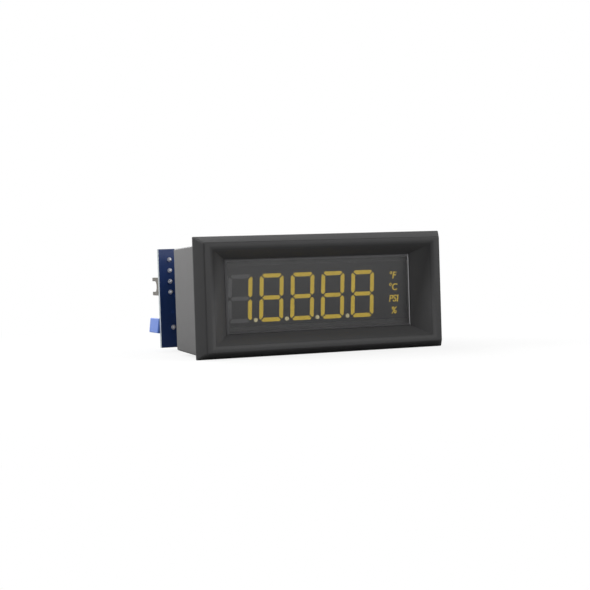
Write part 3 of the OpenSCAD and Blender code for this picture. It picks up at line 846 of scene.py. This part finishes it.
def sector(x: float, z: float, radius: float, quarter: int, gap: float) -> list[Point]:
    """Draws a quarter disc that stands off its neighbours.

    Args:
        x: The disc's centre along X.
        z: The disc's centre along Z.
        radius: Radius of the disc.
        quarter: Which quarter, from 0 to 3.
        gap: How far the quarter is shifted outwards.

    Returns:
        The quarter's outline.
    """
    start = quarter * math.pi / 2
    middle = start + math.pi / 4
    shift = (math.cos(middle) * gap, math.sin(middle) * gap)
    steps = 8
    arc = [start + math.pi / 2 * k / steps for k in range(steps + 1)]
    points = [(0.0, 0.0)] + [(radius * math.cos(a), radius * math.sin(a)) for a in arc]
    return [(x + shift[0] + px, z + shift[1] + pz) for px, pz in points]


# ---- Housing ----


@dataclass
class Housing:
    """The bezel, its window and the case behind it."""

    bench: Bench
    lip_radius: float = 0.85 * MM
    front_radius: float = 0.40 * MM
    flange_radius: float = 0.15 * MM
    rim_radius: float = 0.15 * MM
    near: float = 0.05 * MM
    band_depth: float = 1.0 * MM
    band_start: float = 0.93
    rim_depth: float = 0.5 * MM
    rim_length: float = 9 * MM
    recess_overlap: float = 0.2 * MM
    window_radius: float = 0.08 * MM
    chamfer_facing: Point = (0.2, 0.95)
    chamfer_depth: float = 1.0 * MM
    bright_facing: float = 0.3
    corner_radius: float = 0.7 * MM
    corner_length: float = 20 * MM
    corner_reach: float = 1.5 * MM
    mouth_radius: float = 0.55 * MM
    mouth_depth: float = 0.01 * MM
    mouth_length: float = 3 * MM

    def build(self) -> None:
        """Builds the three mouldings."""
        self.bezel()
        self.window()
        self.case()

    def bezel(self) -> None:
        """The bezel, with its edges eased as a mould leaves them, and painted light on the shaded slopes
        round its window.
        """
        box = box_of("bezel")
        opening = box_of("window").high.x
        near = self.near
        ahead = box.low.y + self.band_depth

        def lip(edge: Edge) -> bool:
            """Passes the edges where the front band turns in to the window."""
            level = all(v.co.y < ahead for v in edge.verts)
            return level and all(self.share_out(v.co, box) < self.band_start for v in edge.verts)

        def front(edge: Edge) -> bool:
            """Passes the outer edges of the front band and the corners of its slopes."""
            outside = all(self.share_out(v.co, box) > self.band_start for v in edge.verts)
            return outside and any(v.co.y < ahead for v in edge.verts)

        def flange(edge: Edge) -> bool:
            """Passes the edges round the outside of the flange."""
            far = box.high
            return all(far.x - abs(v.co.x) < near or far.z - abs(v.co.z) < near for v in edge.verts)

        def rim(edge: Edge) -> bool:
            """Passes the edges where the slope meets the window's opening."""
            inside = all(abs(v.co.x) < opening and near < v.co.y < self.rim_depth for v in edge.verts)
            return inside and edge.calc_length() > self.rim_length

        def recess(at: Vector) -> bool:
            """Passes the slopes that lead in to the window, which take a lighter colour as painted light
            on their shade.
            """
            level = ahead - self.recess_overlap < at.y < near
            return level and self.share_out(at, box) < self.band_start

        piece = self.bench.soften(
            "bezel",
            Rounding(self.lip_radius, 4, lip),
            Rounding(self.front_radius, 3, front),
            Rounding(self.flange_radius, 2, flange),
            Rounding(self.rim_radius, 2, rim, angle=15.0),
        )
        # The slopes round the window take a lighter copy of the black plastic, painted light for their
        # shade.
        self.bench.paint(piece, "recess_painted_light", recess)

    @staticmethod
    def share_out(at: Vector, box: Box) -> float:
        """How far out a point lies, as a share of the way to the box's sides."""
        middle, reach = box.middle, box.size / 2
        return max(abs(at.x - middle.x) / reach.x, abs(at.z - middle.z) / reach.z)

    def window(self) -> None:
        """The smoked window, with a painted highlight on its chamfer that is brightest on the faces that
        look to the right.
        """
        piece = self.bench.soften("window", Rounding(self.window_radius))
        front = min(v.co.y for v in piece.data.vertices)
        for name in ("window_chamfer", "window_edge_painted_highlight"):
            piece.data.materials.append(self.bench.palette.by_name[name])
        # The chamfer takes a painted highlight, and its right-facing faces take a brighter one.
        flattest, steepest = self.chamfer_facing
        for face in piece.data.polygons:
            sloped = flattest < -face.normal.y < steepest
            if sloped and face.center.y < front + self.chamfer_depth:
                face.material_index = 2 if face.normal.x > self.bright_facing else 1

    def case(self) -> None:
        """The case, with rounded corners and an eased mouth."""
        box = box_of("case")
        side = box.high.x - self.corner_reach

        def corner(edge: Edge) -> bool:
            """Passes the long outer corners."""
            reach = abs(edge.verts[0].co.y - edge.verts[1].co.y)
            return reach > self.corner_length and min(abs(v.co.x) for v in edge.verts) > side

        def mouth(edge: Edge) -> bool:
            """Passes the edges round the open back."""
            level = all(box.high.y - v.co.y < self.mouth_depth for v in edge.verts)
            return level and edge.calc_length() > self.mouth_length

        self.bench.soften(
            "case",
            Rounding(self.corner_radius, 4, corner),
            Rounding(self.mouth_radius, 3, mouth),
        )


# ---- Display ----


@dataclass
class Display:
    """The films and glasses of the display, and its lit unit marks."""

    bench: Bench
    layer_radius: float = 0.02 * MM
    film_gap: float = 0.02 * MM
    words: tuple[str, ...] = ("°F", "°C", "PSI", "%")
    first_height: float = 4.7 * MM
    line_pitch: float = 3.65 * MM
    window_lip: float = 2 * MM
    margin: float = 4.25 * MM
    cap: float = 2.15 * MM
    slant: float = 0.16

    def build(self) -> None:
        """Builds the see-through layers, the glass's border and then the marks."""
        for node in ("front_polarizer", "front_glass", "rear_glass"):
            self.bench.soften(node, Rounding(self.layer_radius, 1), inset=self.film_gap)
        self.bench.palette.apply(frame["nodes"]["rear_polarizer"], "rear_film")
        self.border()
        cell = box_of("lit_segments")
        across = box_of("window").high.x - self.window_lip - self.margin
        for index, word in enumerate(self.words):
            z = self.first_height - index * self.line_pitch
            move = Matrix.Translation((across, cell.middle.y, z))
            bm = lettering(word, self.cap, cell.size.y, move, self.slant)
            self.bench.place(f"unit_mark_{index + 1}", bm, "lit_yellow")

    def border(self) -> None:
        """The dark print along the glass, above and below the front film."""
        glass = box_of("front_glass")
        film = box_of("front_polarizer")
        bm = bmesh.new()
        for edge, side in ((film.high.z, glass.high.z), (film.low.z, glass.low.z)):
            clear = math.copysign(self.film_gap, side)
            outline = rectangle((glass.low.x, edge + clear), (glass.high.x, side - clear))
            add_prism(bm, outline, film.low.y + self.film_gap, film.middle.y)
        self.bench.place("glass_border", bm, "rear_film", slot="polarizer_film")


STROKE_GAIN = 0.012
CAP_OF_FONT = 0.72
LETTER_WIDTH = 0.9


def lettering(word: str, cap: float, thickness: float, move: Matrix, slant: float = 0.0) -> Mesh:
    """Plain letters as a thin solid that faces the front.

    Args:
        word: The letters.
        cap: Height of a capital.
        thickness: Thickness along Y.
        move: Where they go from the origin, which they are centred on first.
        slant: Lean of the letters, as a share of their height.

    Returns:
        The letters' mesh.
    """
    curve = bpy.data.curves.new("letters", "FONT")
    curve.body = word
    curve.size = 1.0
    curve.shear = slant
    curve.offset = STROKE_GAIN
    curve.extrude = 0.5
    curve.resolution_u = 4
    letters = bpy.data.objects.new("letters", curve)
    bpy.context.scene.collection.objects.link(letters)
    bpy.context.view_layer.update()
    evaluated = letters.evaluated_get(bpy.context.evaluated_depsgraph_get())
    mesh = bpy.data.meshes.new_from_object(evaluated)
    bm = bmesh.new()
    bm.from_mesh(mesh)
    bpy.data.objects.remove(letters)
    bpy.data.curves.remove(curve)
    bpy.data.meshes.remove(mesh)
    bmesh.ops.remove_doubles(bm, verts=bm.verts, dist=1e-5)
    scale = cap / CAP_OF_FONT
    shape = (
        Matrix.Rotation(math.pi / 2, 4, "X")
        @ Matrix.Diagonal((scale * LETTER_WIDTH, scale, thickness, 1.0))
        @ Matrix.Translation(-box_round([v.co for v in bm.verts]).middle)
    )
    bmesh.ops.transform(bm, matrix=shape, verts=bm.verts)
    bmesh.ops.transform(bm, matrix=move, verts=bm.verts)
    return bm


# ---- Circuit boards ----


@dataclass
class BoardArt:
    """Copper tracks, rings and printed outlines on one face of a board."""

    bench: Bench
    node: str
    face: Face
    sunk: float = 0.02 * MM
    copper: float = 0.030 * MM
    pad: float = 0.036 * MM
    ink: float = 0.045 * MM
    line: float = 0.22 * MM
    ring: float = 0.45 * MM
    track_width: float = 0.45 * MM
    pad_sides: int = 16
    circle_sides: int = 40
    tracks: list[list[Point]] = field(default_factory=list)
    pads: list[list[Point]] = field(default_factory=list)
    printed: list[list[Point]] = field(default_factory=list)

    @property
    def surface(self) -> float:
        """Place of the board's face along Y."""
        board = box_of(self.node)
        return board.high.y if self.face is Face.BACK else board.low.y

    def layer(self, thickness: float) -> Point:
        """Finds where a layer lies that is sunk a little into the face.

        Args:
            thickness: How far it stands out from the face.

        Returns:
            Its lowest and highest Y.
        """
        sunk = self.surface - self.face.value * self.sunk
        top = self.surface + self.face.value * thickness
        return min(sunk, top), max(sunk, top)

    def track(self, *points: Point, width: float | None = None) -> None:
        """Adds a copper track along a bent line, with a ring at its last point."""
        self.tracks.append(ribbon(points, width or self.track_width))
        self.pads.append(ring_outline(*points[-1], self.ring, self.pad_sides))

    def route(self, start: Point, end: Point, width: float) -> None:
        """Adds a track that leaves upright, crosses at 45 degrees and arrives upright.

        Args:
            start: Where it starts.
            end: Where it ends.
            width: Its width.
        """
        shift = end[0] - start[0]
        rise = end[1] - start[1]
        lead = (abs(rise) - abs(shift)) / 2
        turn = start[1] + math.copysign(lead, rise)
        bend = turn + math.copysign(abs(shift), rise)
        self.track(start, (start[0], turn), (end[0], bend), end, width=width)

    def frame_round(self, box: Box, grow: float, lowest: float = -math.inf) -> None:
        """Adds a printed rectangle round a box.

        Args:
            box: The box.
            grow: How far the rectangle stands off it.
            lowest: Height that the rectangle doesn't go below.
        """
        low = (box.low.x - grow, max(box.low.z - grow, lowest))
        corners = rectangle(low, (box.high.x + grow, box.high.z + grow))
        for one, two in zip(corners, corners[1:] + corners[:1]):
            self.printed.append(ribbon([one, two], self.line))

    def circle(self, at: Vector, radius: float, width: float) -> None:
        """Adds a printed circle, as short plates that meet end to end.

        Args:
            at: Its centre.
            radius: Its radius, to the middle of the line.
            width: Width of the line.
        """
        sides = self.circle_sides
        inner, outer = (
            ring_outline(at.x, at.z, radius + d, sides) for d in (-width / 2, width / 2)
        )
        for k in range(sides):
            j = (k + 1) % sides
            self.printed.append([inner[k], outer[k], outer[j], inner[j]])

    def build(self, name: str, copper_finish: str, slot: str) -> None:
        """Builds the tracks, the rings and the print as one piece each.

        Args:
            name: Start of the pieces' names.
            copper_finish: Finish of the copper under the mask.
            slot: The record's slot that they belong to.
        """
        for label, outlines, thickness, finish in (
            ("tracks", self.tracks, self.copper, copper_finish),
            ("pads", self.pads, self.pad, copper_finish),
            ("print", self.printed, self.ink, "legend_ink"),
        ):
            if not outlines:
                continue
            bm = bmesh.new()
            for outline in outlines:
                add_prism(bm, outline, *self.layer(thickness))
            self.bench.place(f"{name}_{label}", bm, finish, slot=slot)


@dataclass(frozen=True)
class CanShape:
    """A can capacitor, in shares of its radius and its height."""

    sleeve: tuple[Point, ...] = (
        (0.96, 0.0),
        (1.0, 0.03),
        (1.0, 0.15),
        (0.92, 0.19),
        (0.92, 0.21),
        (1.0, 0.25),
        (1.0, 0.95),
        (0.96, 0.985),
        (0.86, 0.99),
        (0.84, 0.96),
    )
    top: tuple[Point, ...] = ((0.83, 0.95), (0.83, 0.962))
    score_radius: float = 0.80
    score_span: Point = (0.955, 0.98)
    score_gap: float = 0.12 * MM

    def add(self, sleeves: Mesh, tops: Mesh, box: Box) -> None:
        """Adds a can to the meshes of the sleeves and of the tops.

        Args:
            sleeves: The sleeves' mesh.
            tops: The tops' mesh.
            box: The can's box.
        """
        at = Vector((box.middle.x, box.low.y, box.middle.z))
        radius, height = box.size.x / 2, box.size.y
        for mesh, profile in ((sleeves, self.sleeve), (tops, self.top)):
            add_turned(mesh, at, [(radius * a, height * b) for a, b in profile])
        low, high = (at.y + height * share for share in self.score_span)
        for quarter in range(4):
            reach = radius * self.score_radius
            add_prism(tops, sector(at.x, at.z, reach, quarter, self.score_gap), low, high)


@dataclass
class BoardStack:
    """The three boards, what is soldered on them, and the posts that hold them."""

    bench: Bench
    board_edges: Rounding = Rounding(0.07 * MM, 1, longer_than(5 * MM))
    chip_edges: Rounding = Rounding(0.08 * MM, 1, longer_than(2 * MM))
    strip_edges: Rounding = Rounding(0.12 * MM, 1, longer_than(0.5 * MM))
    pin_edges: Rounding = Rounding(0.10 * MM)
    crystal_edges: Rounding = Rounding(0.3 * MM, 3, angle=60.0)
    post_edges: Rounding = Rounding(0.25 * MM, 2, longer_than(1.5 * MM))
    lead_length: float = 1.0 * MM
    lead_root: float = 0.01 * MM
    can: CanShape = CanShape()
    head: CrossHead = CrossHead()
    shank_share: float = 0.5
    shank_sides: int = 24

    def build(self) -> None:
        """Builds the boards from the front one to the rear one."""
        for node in ("display_board", "main_board", "rear_board"):
            self.bench.soften(node, self.board_edges)
        for node in ("controller_chip", "converter_chip", "voltage_regulator"):
            self.chip(node)
        self.capacitors()
        for nodes, rounding in (
            (("stack_socket", "stack_header", "link_header"), self.strip_edges),
            (("stack_pins", "link_pins"), self.pin_edges),
            (("crystal",), self.crystal_edges),
            (("standoffs",), self.post_edges),
        ):
            for node in nodes:
                self.bench.soften(node, rounding)
        self.screws("standoff_screws")

    def chip(self, node: str) -> None:
        """Builds a chip with an eased body and bright leads.

        Args:
            node: The chip's CAD node.
        """
        box = box_of(node)
        body = box.size.z / 2 - self.lead_length + self.lead_root
        piece = self.bench.soften(node, self.chip_edges)
        self.bench.paint(piece, "tinned_lead", lambda at: abs(at.z - box.middle.z) > body)

    def capacitors(self) -> None:
        """Cans with a rolled groove, a sleeve and a scored metal top."""
        sleeves, tops = bmesh.new(), bmesh.new()
        for box in islands("capacitors"):
            self.can.add(sleeves, tops, box)
        self.bench.place("capacitor_sleeves", sleeves, "capacitor_sleeve", instead_of=["capacitors"])
        self.bench.place("capacitor_tops", tops, "capacitor_top", slot="capacitor_sleeve")

    def screws(self, node: str) -> None:
        """Builds screws with domed heads, through the main and the rear board.

        Args:
            node: The screws' CAD node.
        """
        bm = bmesh.new()
        for box in islands(node):
            behind = box.middle.y > box_of("case").high.y
            side = 1.0 if behind else -1.0
            seat = box_of("rear_board").high.y if behind else box_of("main_board").low.y
            tip, crown = (box.low.y, box.high.y) if behind else (box.high.y, box.low.y)
            at = Vector((box.middle.x, seat, box.middle.z))
            radius = box.size.x / 2
            self.head.add(bm, at, radius, abs(crown - seat), side)
            shank = radius * self.shank_share
            add_turned(bm, at, [(shank, 0.0), (shank, tip - seat)], self.shank_sides)
        self.bench.place(f"{node}_finished", bm, "screw_steel", instead_of=[node])


@dataclass(frozen=True)
class Fan:
    """Lengths in millimetres that grow evenly from one track of a fan to the next."""

    first: float
    step: float

    def at(self, index: int) -> float:
        """Length for one of the tracks, in metres."""
        return (self.first + self.step * index) * MM


@dataclass
class MainBoardArt:
    """Tracks and print on the back of the main board.

    Four tracks fan in from the pins to the controller chip, four run to the converter chip, and
    five leave the controller chip at its lower side.
    """

    bench: Bench
    width: float = 0.3 * MM
    under_chip: float = 0.2 * MM
    start_below_pin: float = 1.4 * MM
    turn_below_pin: float = 1.6 * MM
    bend_below_pin: float = 2.4 * MM
    upper_ends: Fan = Fan(1.5, 1.3)
    upper_slopes: Fan = Fan(1.0, 0.8)
    converter_shares: tuple[float, ...] = (0.15, 0.4, 0.65, 0.9)
    lower_ends: Fan = Fan(1.2, 1.4)
    lower_drops: Fan = Fan(0.8, 0.5)
    lower_count: int = 5
    can_outline: float = 0.35 * MM
    can_line: float = 0.2 * MM
    chip_outline: float = 0.45 * MM

    def build(self) -> None:
        """Builds the tracks, the rings and the print."""
        row = middles("stack_pins")
        chip, other = box_of("controller_chip"), box_of("converter_chip")
        art = BoardArt(self.bench, "main_board", Face.BACK)
        for index, pin in enumerate(row[:4]):
            end = chip.low.x + self.upper_ends.at(index)
            level = pin.z - self.turn_below_pin
            art.track(
                (pin.x, pin.z - self.start_below_pin),
                (pin.x, level),
                (end + self.upper_slopes.at(index), level),
                (end, pin.z - self.bend_below_pin),
                (end, chip.high.z - self.under_chip),
                width=self.width,
            )
        for pin, share in zip(row[5:9], self.converter_shares):
            start = (other.low.x + other.size.x * share, other.high.z - self.under_chip)
            art.route(start, (pin.x, pin.z - self.turn_below_pin), self.width)
        for index in range(self.lower_count):
            end = chip.low.x + self.lower_ends.at(index)
            foot = chip.low.z - self.lower_drops.at(index)
            art.track((end, chip.low.z), (end, foot), width=self.width)
        for can in islands("capacitors"):
            art.circle(can.middle, can.size.x / 2 + self.can_outline, self.can_line)
        for box in (chip, other, box_of("crystal")):
            art.frame_round(box, self.chip_outline)
        art.build("main_board_back", "green_track", "green_laminate")


@dataclass
class RearBoardArt:
    """Tracks and print on both faces of the rear board, and the numbers of the poles."""

    bench: Bench
    pole_width: float = 0.8 * MM
    under_block: float = 1 * MM
    pole_below_pin: float = 1.3 * MM
    link_lead: float = 1.6 * MM
    link_slope: Point = (4.8 * MM, 3.2 * MM)
    pin_slope: Point = (7 * MM, 5 * MM)
    pin_rise: float = 2 * MM
    outline: float = 0.5 * MM
    first_mark: Point = (2.4 * MM, 0.35 * MM)
    mark_sides: int = 12
    post_pad: float = 2.9 * MM
    post_outline: float = 3.1 * MM
    post_line: float = 0.16 * MM
    front_drops: tuple[float, ...] = (0.0, 1.2, 2.4, 3.6)
    front_fall: float = 2.2
    front_run: float = 2.0
    front_width: float = 0.6 * MM
    above_leg: float = 1.6 * MM
    front_below_pin: float = 2.0 * MM
    trimmer_pad: Point = (2 * MM, 0.5 * MM)
    number_cap: float = 1.6 * MM
    number_shift: Point = (1.5 * MM, 1.9 * MM)

    def build(self) -> None:
        """Builds the back, the front and then the numbers."""
        self.back()
        self.front()
        self.numbers()

    def back(self) -> None:
        """Tracks from the terminals and the link, outlines, and rings round the posts."""
        board, block, header = (box_of(n) for n in ("rear_board", "terminal_block", "link_header"))
        row, legs, links = map(middles, ("stack_pins", "terminal_contacts", "link_pins"))
        art = BoardArt(self.bench, "rear_board", Face.BACK)
        for leg, pin in zip(legs, row[1:8:2]):
            start = (leg.x, block.high.z - self.under_block)
            art.route(start, (pin.x, pin.z - self.pole_below_pin), self.pole_width)
        for link, pin in zip(links[2:], row[:2]):
            step = link.z - self.link_slope[1]
            art.track(
                (link.x, link.z),
                (link.x + self.link_lead, link.z),
                (link.x + self.link_slope[0], step),
                (pin.x - self.pin_slope[0], step),
                (pin.x - self.pin_slope[1], step + self.pin_rise),
            )
        for box in (block, header):
            art.frame_round(box, self.outline, board.low.z + self.outline)
        shift, radius = self.first_mark
        art.printed.append(ring_outline(header.middle.x + shift, header.high.z, radius, self.mark_sides))
        for post in middles("standoffs"):
            art.pads.append(ring_outline(post.x, post.z, self.post_pad, art.circle_sides))
            art.circle(post, self.post_outline, self.post_line)
        art.build("rear_board_back", "blue_track", "blue_laminate")

    def front(self) -> None:
        """Tracks from the link and the terminals, and a ring above the trimmer."""
        row, legs, links = map(middles, ("stack_pins", "terminal_contacts", "link_pins"))
        trimmer = box_of("trimmer_body")
        art = BoardArt(self.bench, "rear_board", Face.FRONT)
        for link, drop in zip(links, self.front_drops):
            turn = links[0].z - (self.front_fall + drop) * MM
            along = link.x + (self.front_run + drop) * MM
            art.track((link.x, link.z), (along, link.z - self.front_run * MM), (along, turn))
        for leg, pin in zip(legs, row[::3]):
            start = (leg.x, leg.z + self.above_leg)
            art.route(start, (pin.x, pin.z - self.front_below_pin), self.front_width)
        rise, radius = self.trimmer_pad
        art.pads.append(ring_outline(trimmer.middle.x, trimmer.high.z + rise, radius, art.pad_sides))
        art.build("rear_board_front", "blue_track", "blue_laminate")

    def numbers(self) -> None:
        """The numbers of the poles, printed above the terminal block."""
        surface, top = box_of("rear_board").high.y, box_of("terminal_block").high.z
        across, up = self.number_shift
        for index, leg in enumerate(middles("terminal_contacts"), start=1):
            move = Matrix.Translation((leg.x - across, surface, top + up))
            move = move @ Matrix.Rotation(math.pi, 4, "Z")
            bm = lettering(str(index), self.number_cap, 2 * BoardArt.ink, move)
            self.bench.place(f"pole_number_{index}", bm, "legend_ink", slot="blue_laminate")


# ---- What the rear board carries ----


@dataclass
class RearFittings:
    """Solder, jumper link, trimmer and terminals."""

    bench: Bench
    link_edges: Rounding = Rounding(0.22 * MM, 2, longer_than(1.5 * MM))
    trimmer_edges: Rounding = Rounding(0.25 * MM, 3, longer_than(1.5 * MM))
    adjuster_edges: Rounding = Rounding(0.07 * MM, 1)
    block_edges: Rounding = Rounding(0.10 * MM, 2, longer_than(1.2 * MM))
    clamp_edges: Rounding = Rounding(0.10 * MM, 2, angle=50.0)
    poles: int = 4
    fillet_sides: int = 20
    fillet: tuple[Point, ...] = (
        (1.0, 0.0),
        (0.95, 0.05),
        (0.80, 0.16),
        (0.69, 0.36),
        (0.63, 0.60),
        (0.56, 0.80),
        (0.42, 0.93),
        (0.18, 0.99),
        (0.03, 1.0),
    )

    def build(self) -> None:
        """Builds every fitting, the moving ones on their own bodies."""
        self.solder()
        for node, rounding, body in (
            ("jumper_link", self.link_edges, "jumper_link"),
            ("trimmer_body", self.trimmer_edges, BODY),
            ("trimmer_screw", self.adjuster_edges, "trimmer_screw"),
            ("terminal_block", self.block_edges, BODY),
        ):
            self.bench.soften(node, rounding, body=body)
        for pole in range(1, self.poles + 1):
            self.bench.soften(f"terminal_screw_{pole}", self.clamp_edges, body=f"clamp_screw_{pole}")

    def solder(self) -> None:
        """Joints that climb their pins in a hollow curve and close over them."""
        board = box_of("rear_board")
        bm = bmesh.new()
        for box in islands("solder_joints"):
            front = box.middle.y < board.middle.y
            base = board.low.y if front else board.high.y
            height = -box.size.y if front else box.size.y
            at = Vector((box.middle.x, base, box.middle.z))
            profile = [(box.size.x / 2 * a, height * b) for a, b in self.fillet]
            add_turned(bm, at, profile, self.fillet_sides)
        self.bench.place("solder_fillets", bm, "solder", instead_of=["solder_joints"], smooth_to=70.0)


# ---- Studio ----


@dataclass(frozen=True)
class Lamp:
    """A square soft light that faces the meter."""

    name: str
    place: tuple[float, float, float]
    size: float
    power: float
    colour: Colour = (1.0, 1.0, 1.0)

    def build(self) -> None:
        """Builds the light."""
        data = bpy.data.lights.new(self.name, "AREA")
        data.shape = "SQUARE"
        data.size = self.size
        data.energy = self.power
        data.color = self.colour
        lamp = bpy.data.objects.new(self.name, data)
        lamp.location = self.place
        lamp.rotation_euler = (-Vector(self.place)).to_track_quat("-Z", "Y").to_euler()
        bpy.context.scene.collection.objects.link(lamp)


@dataclass
class Studio:
    """Floor, soft lights, plain white surroundings and the camera."""

    aim: Vector = field(default_factory=lambda: Vector((-8.26, 0.0, -0.19)) * MM)
    distance: float = 405 * MM
    yaw: float = 21.5
    pitch: float = 1.5
    roll: float = -1.87
    lens: float = 82.3
    film_width: float = 36.0
    clip: Point = (0.01, 20.0)
    behind_span: Point = (0.35, 0.95)
    front_span: Point = (-0.8, 0.6)
    front_white: Point = (0.12, 0.55)
    back_white: float = 1.0
    ambient: float = 0.60
    floor_reach: float = 3.0
    floor_sides: int = 96
    floor_depth: float = 2 * MM
    floor_to_eye: float = 0.88
    floor_as_light: float = 0.35
    glow_span: Point = (0.02, 0.22)
    floor_glow: Point = (0.80, 1.0)
    lamps: tuple[Lamp, ...] = (
        Lamp("key_right", (0.45, -0.62, 0.48), 0.50, 2.8, (1.0, 0.99, 0.98)),
        Lamp("low_front_fill", (0.28, -0.85, 0.05), 0.40, 2.4),
        Lamp("left_back_fill", (-0.70, 0.35, 0.50), 0.45, 5.0),
        Lamp("back_fill", (-0.10, 0.80, 0.50), 0.60, 4.0, (0.98, 0.99, 1.0)),
    )

    def build(self) -> None:
        """Builds everything that isn't the meter."""
        self.camera()
        self.world()
        self.floor()
        for lamp in self.lamps:
            lamp.build()

    def camera(self) -> None:
        """Camera at the left of the front, a little above the middle."""
        yaw, pitch, roll = (math.radians(a) for a in (self.yaw, self.pitch, self.roll))
        level = math.cos(pitch)
        back = Vector((-math.sin(yaw) * level, -math.cos(yaw) * level, math.sin(pitch)))
        right = (-back).cross(Vector((0.0, 0.0, 1.0))).normalized()
        up = back.cross(right)
        turned = right * math.cos(roll) + up * math.sin(roll)
        risen = up * math.cos(roll) - right * math.sin(roll)
        data = bpy.data.cameras.new("camera")
        data.lens = self.lens
        data.sensor_width = self.film_width
        data.clip_start, data.clip_end = self.clip
        camera = bpy.data.objects.new("camera", data)
        turn = Matrix((turned, risen, back)).transposed().to_4x4()
        camera.matrix_world = Matrix.Translation(self.aim + back * self.distance) @ turn
        bpy.context.scene.collection.objects.link(camera)
        bpy.context.scene.camera = camera

    def world(self) -> None:
        """White to the eye; in reflections, white behind and darker to the left of the front."""
        world = bpy.data.worlds.new("studio")
        world.use_nodes = True
        bpy.context.scene.world = world
        world.node_tree.nodes.clear()
        wiring = Wiring(world.node_tree)
        place = wiring.add("TexCoord").outputs["Generated"]
        parts = wiring.add("SeparateXYZ", {0: place}).outputs
        behind = wiring.ramp(parts["Y"], self.behind_span, (0.0, 1.0))
        front = wiring.ramp(parts["X"], self.front_span, self.front_white)
        around = wiring.add("Mix", {"Factor": behind, "A": front, "B": self.back_white})
        glossy, ambient, white = (
            wiring.add("Background", {"Color": WHITE, "Strength": strength}).outputs[0]
            for strength in (around.outputs["Result"], self.ambient, 1.0)
        )
        rays = wiring.add("LightPath").outputs
        lit = wiring.add("MixShader", {"Fac": rays["Is Glossy Ray"], 1: ambient, 2: glossy})
        seen = wiring.add(
            "Math",
            {0: rays["Is Camera Ray"], 1: rays["Is Transmission Ray"]},
            operation="MAXIMUM",
        )
        last = wiring.add("MixShader", {"Fac": seen.outputs[0], 1: lit.outputs[0], 2: white})
        wiring.add("OutputWorld", {"Surface": last.outputs[0]})

    def floor(self) -> None:
        """A pale floor that keeps the meter's shadow and fades to white further out."""
        level = min(v[2] for v in frame_corners())
        bm = bmesh.new()
        outline = ring_outline(0.0, 0.0, self.floor_reach, self.floor_sides)
        add_prism(bm, outline, -self.floor_depth, 0.0)
        bmesh.ops.transform(bm, matrix=Matrix.Rotation(-math.pi / 2, 4, "X"), verts=bm.verts)
        mesh = bpy.data.meshes.new("floor")
        bmesh.ops.recalc_face_normals(bm, faces=bm.faces)
        top = max(v.co.z for v in bm.verts)
        bm.to_mesh(mesh)
        bm.free()
        floor = bpy.data.objects.new("floor", mesh)
        floor.location.z = level - top
        bpy.context.scene.collection.objects.link(floor)
        mesh.materials.append(self.floor_material())

    def floor_material(self) -> bpy.types.Material:
        """Builds a matt white near the meter, and plain white light to the eye further out.

        Returns:
            The floor's material.
        """
        made = bpy.data.materials.new("floor_white")
        made.use_nodes = True
        made.node_tree.nodes.clear()
        wiring = Wiring(made.node_tree)
        place = wiring.add("TexCoord").outputs["Object"]
        far = wiring.add("VectorMath", {0: place}, operation="LENGTH").outputs["Value"]
        fade = wiring.ramp(far, self.glow_span, self.floor_glow)
        to_eye = wiring.add("LightPath").outputs["Is Camera Ray"]
        shades = {"To Min": self.floor_as_light, "To Max": self.floor_to_eye}
        tone = wiring.add("MapRange", {"Value": to_eye, **shades}).outputs["Result"]
        share = wiring.add("Math", {0: to_eye, 1: fade}, operation="MULTIPLY").outputs[0]
        matt = wiring.add("BsdfDiffuse", {"Color": tone}).outputs[0]
        white = wiring.add("Emission", {"Strength": 1.0}).outputs[0]
        mix = wiring.add("MixShader", {"Fac": share, 1: matt, 2: white})
        wiring.add("OutputMaterial", {"Surface": mix.outputs[0]})
        return made


def frame_corners() -> Iterable[Vector]:
    """Lowest and highest corners of every CAD node."""
    for name in frame["nodes"]:
        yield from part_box(name)


def main() -> None:
    """Builds the scene in order."""
    logging.basicConfig(level=logging.INFO, format="%(name)s: %(message)s")
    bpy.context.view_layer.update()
    bpy.context.scene.view_settings.view_transform = "Standard"
    palette = Palette()
    palette.dress_nodes()
    bench = Bench(palette)
    Housing(bench).build()
    Display(bench).build()
    BoardStack(bench).build()
    MainBoardArt(bench).build()
    RearBoardArt(bench).build()
    RearFittings(bench).build()
    Studio().build()
    LOG.info("%d pieces placed", bench.count)


if __name__ == "__main__":
    main()
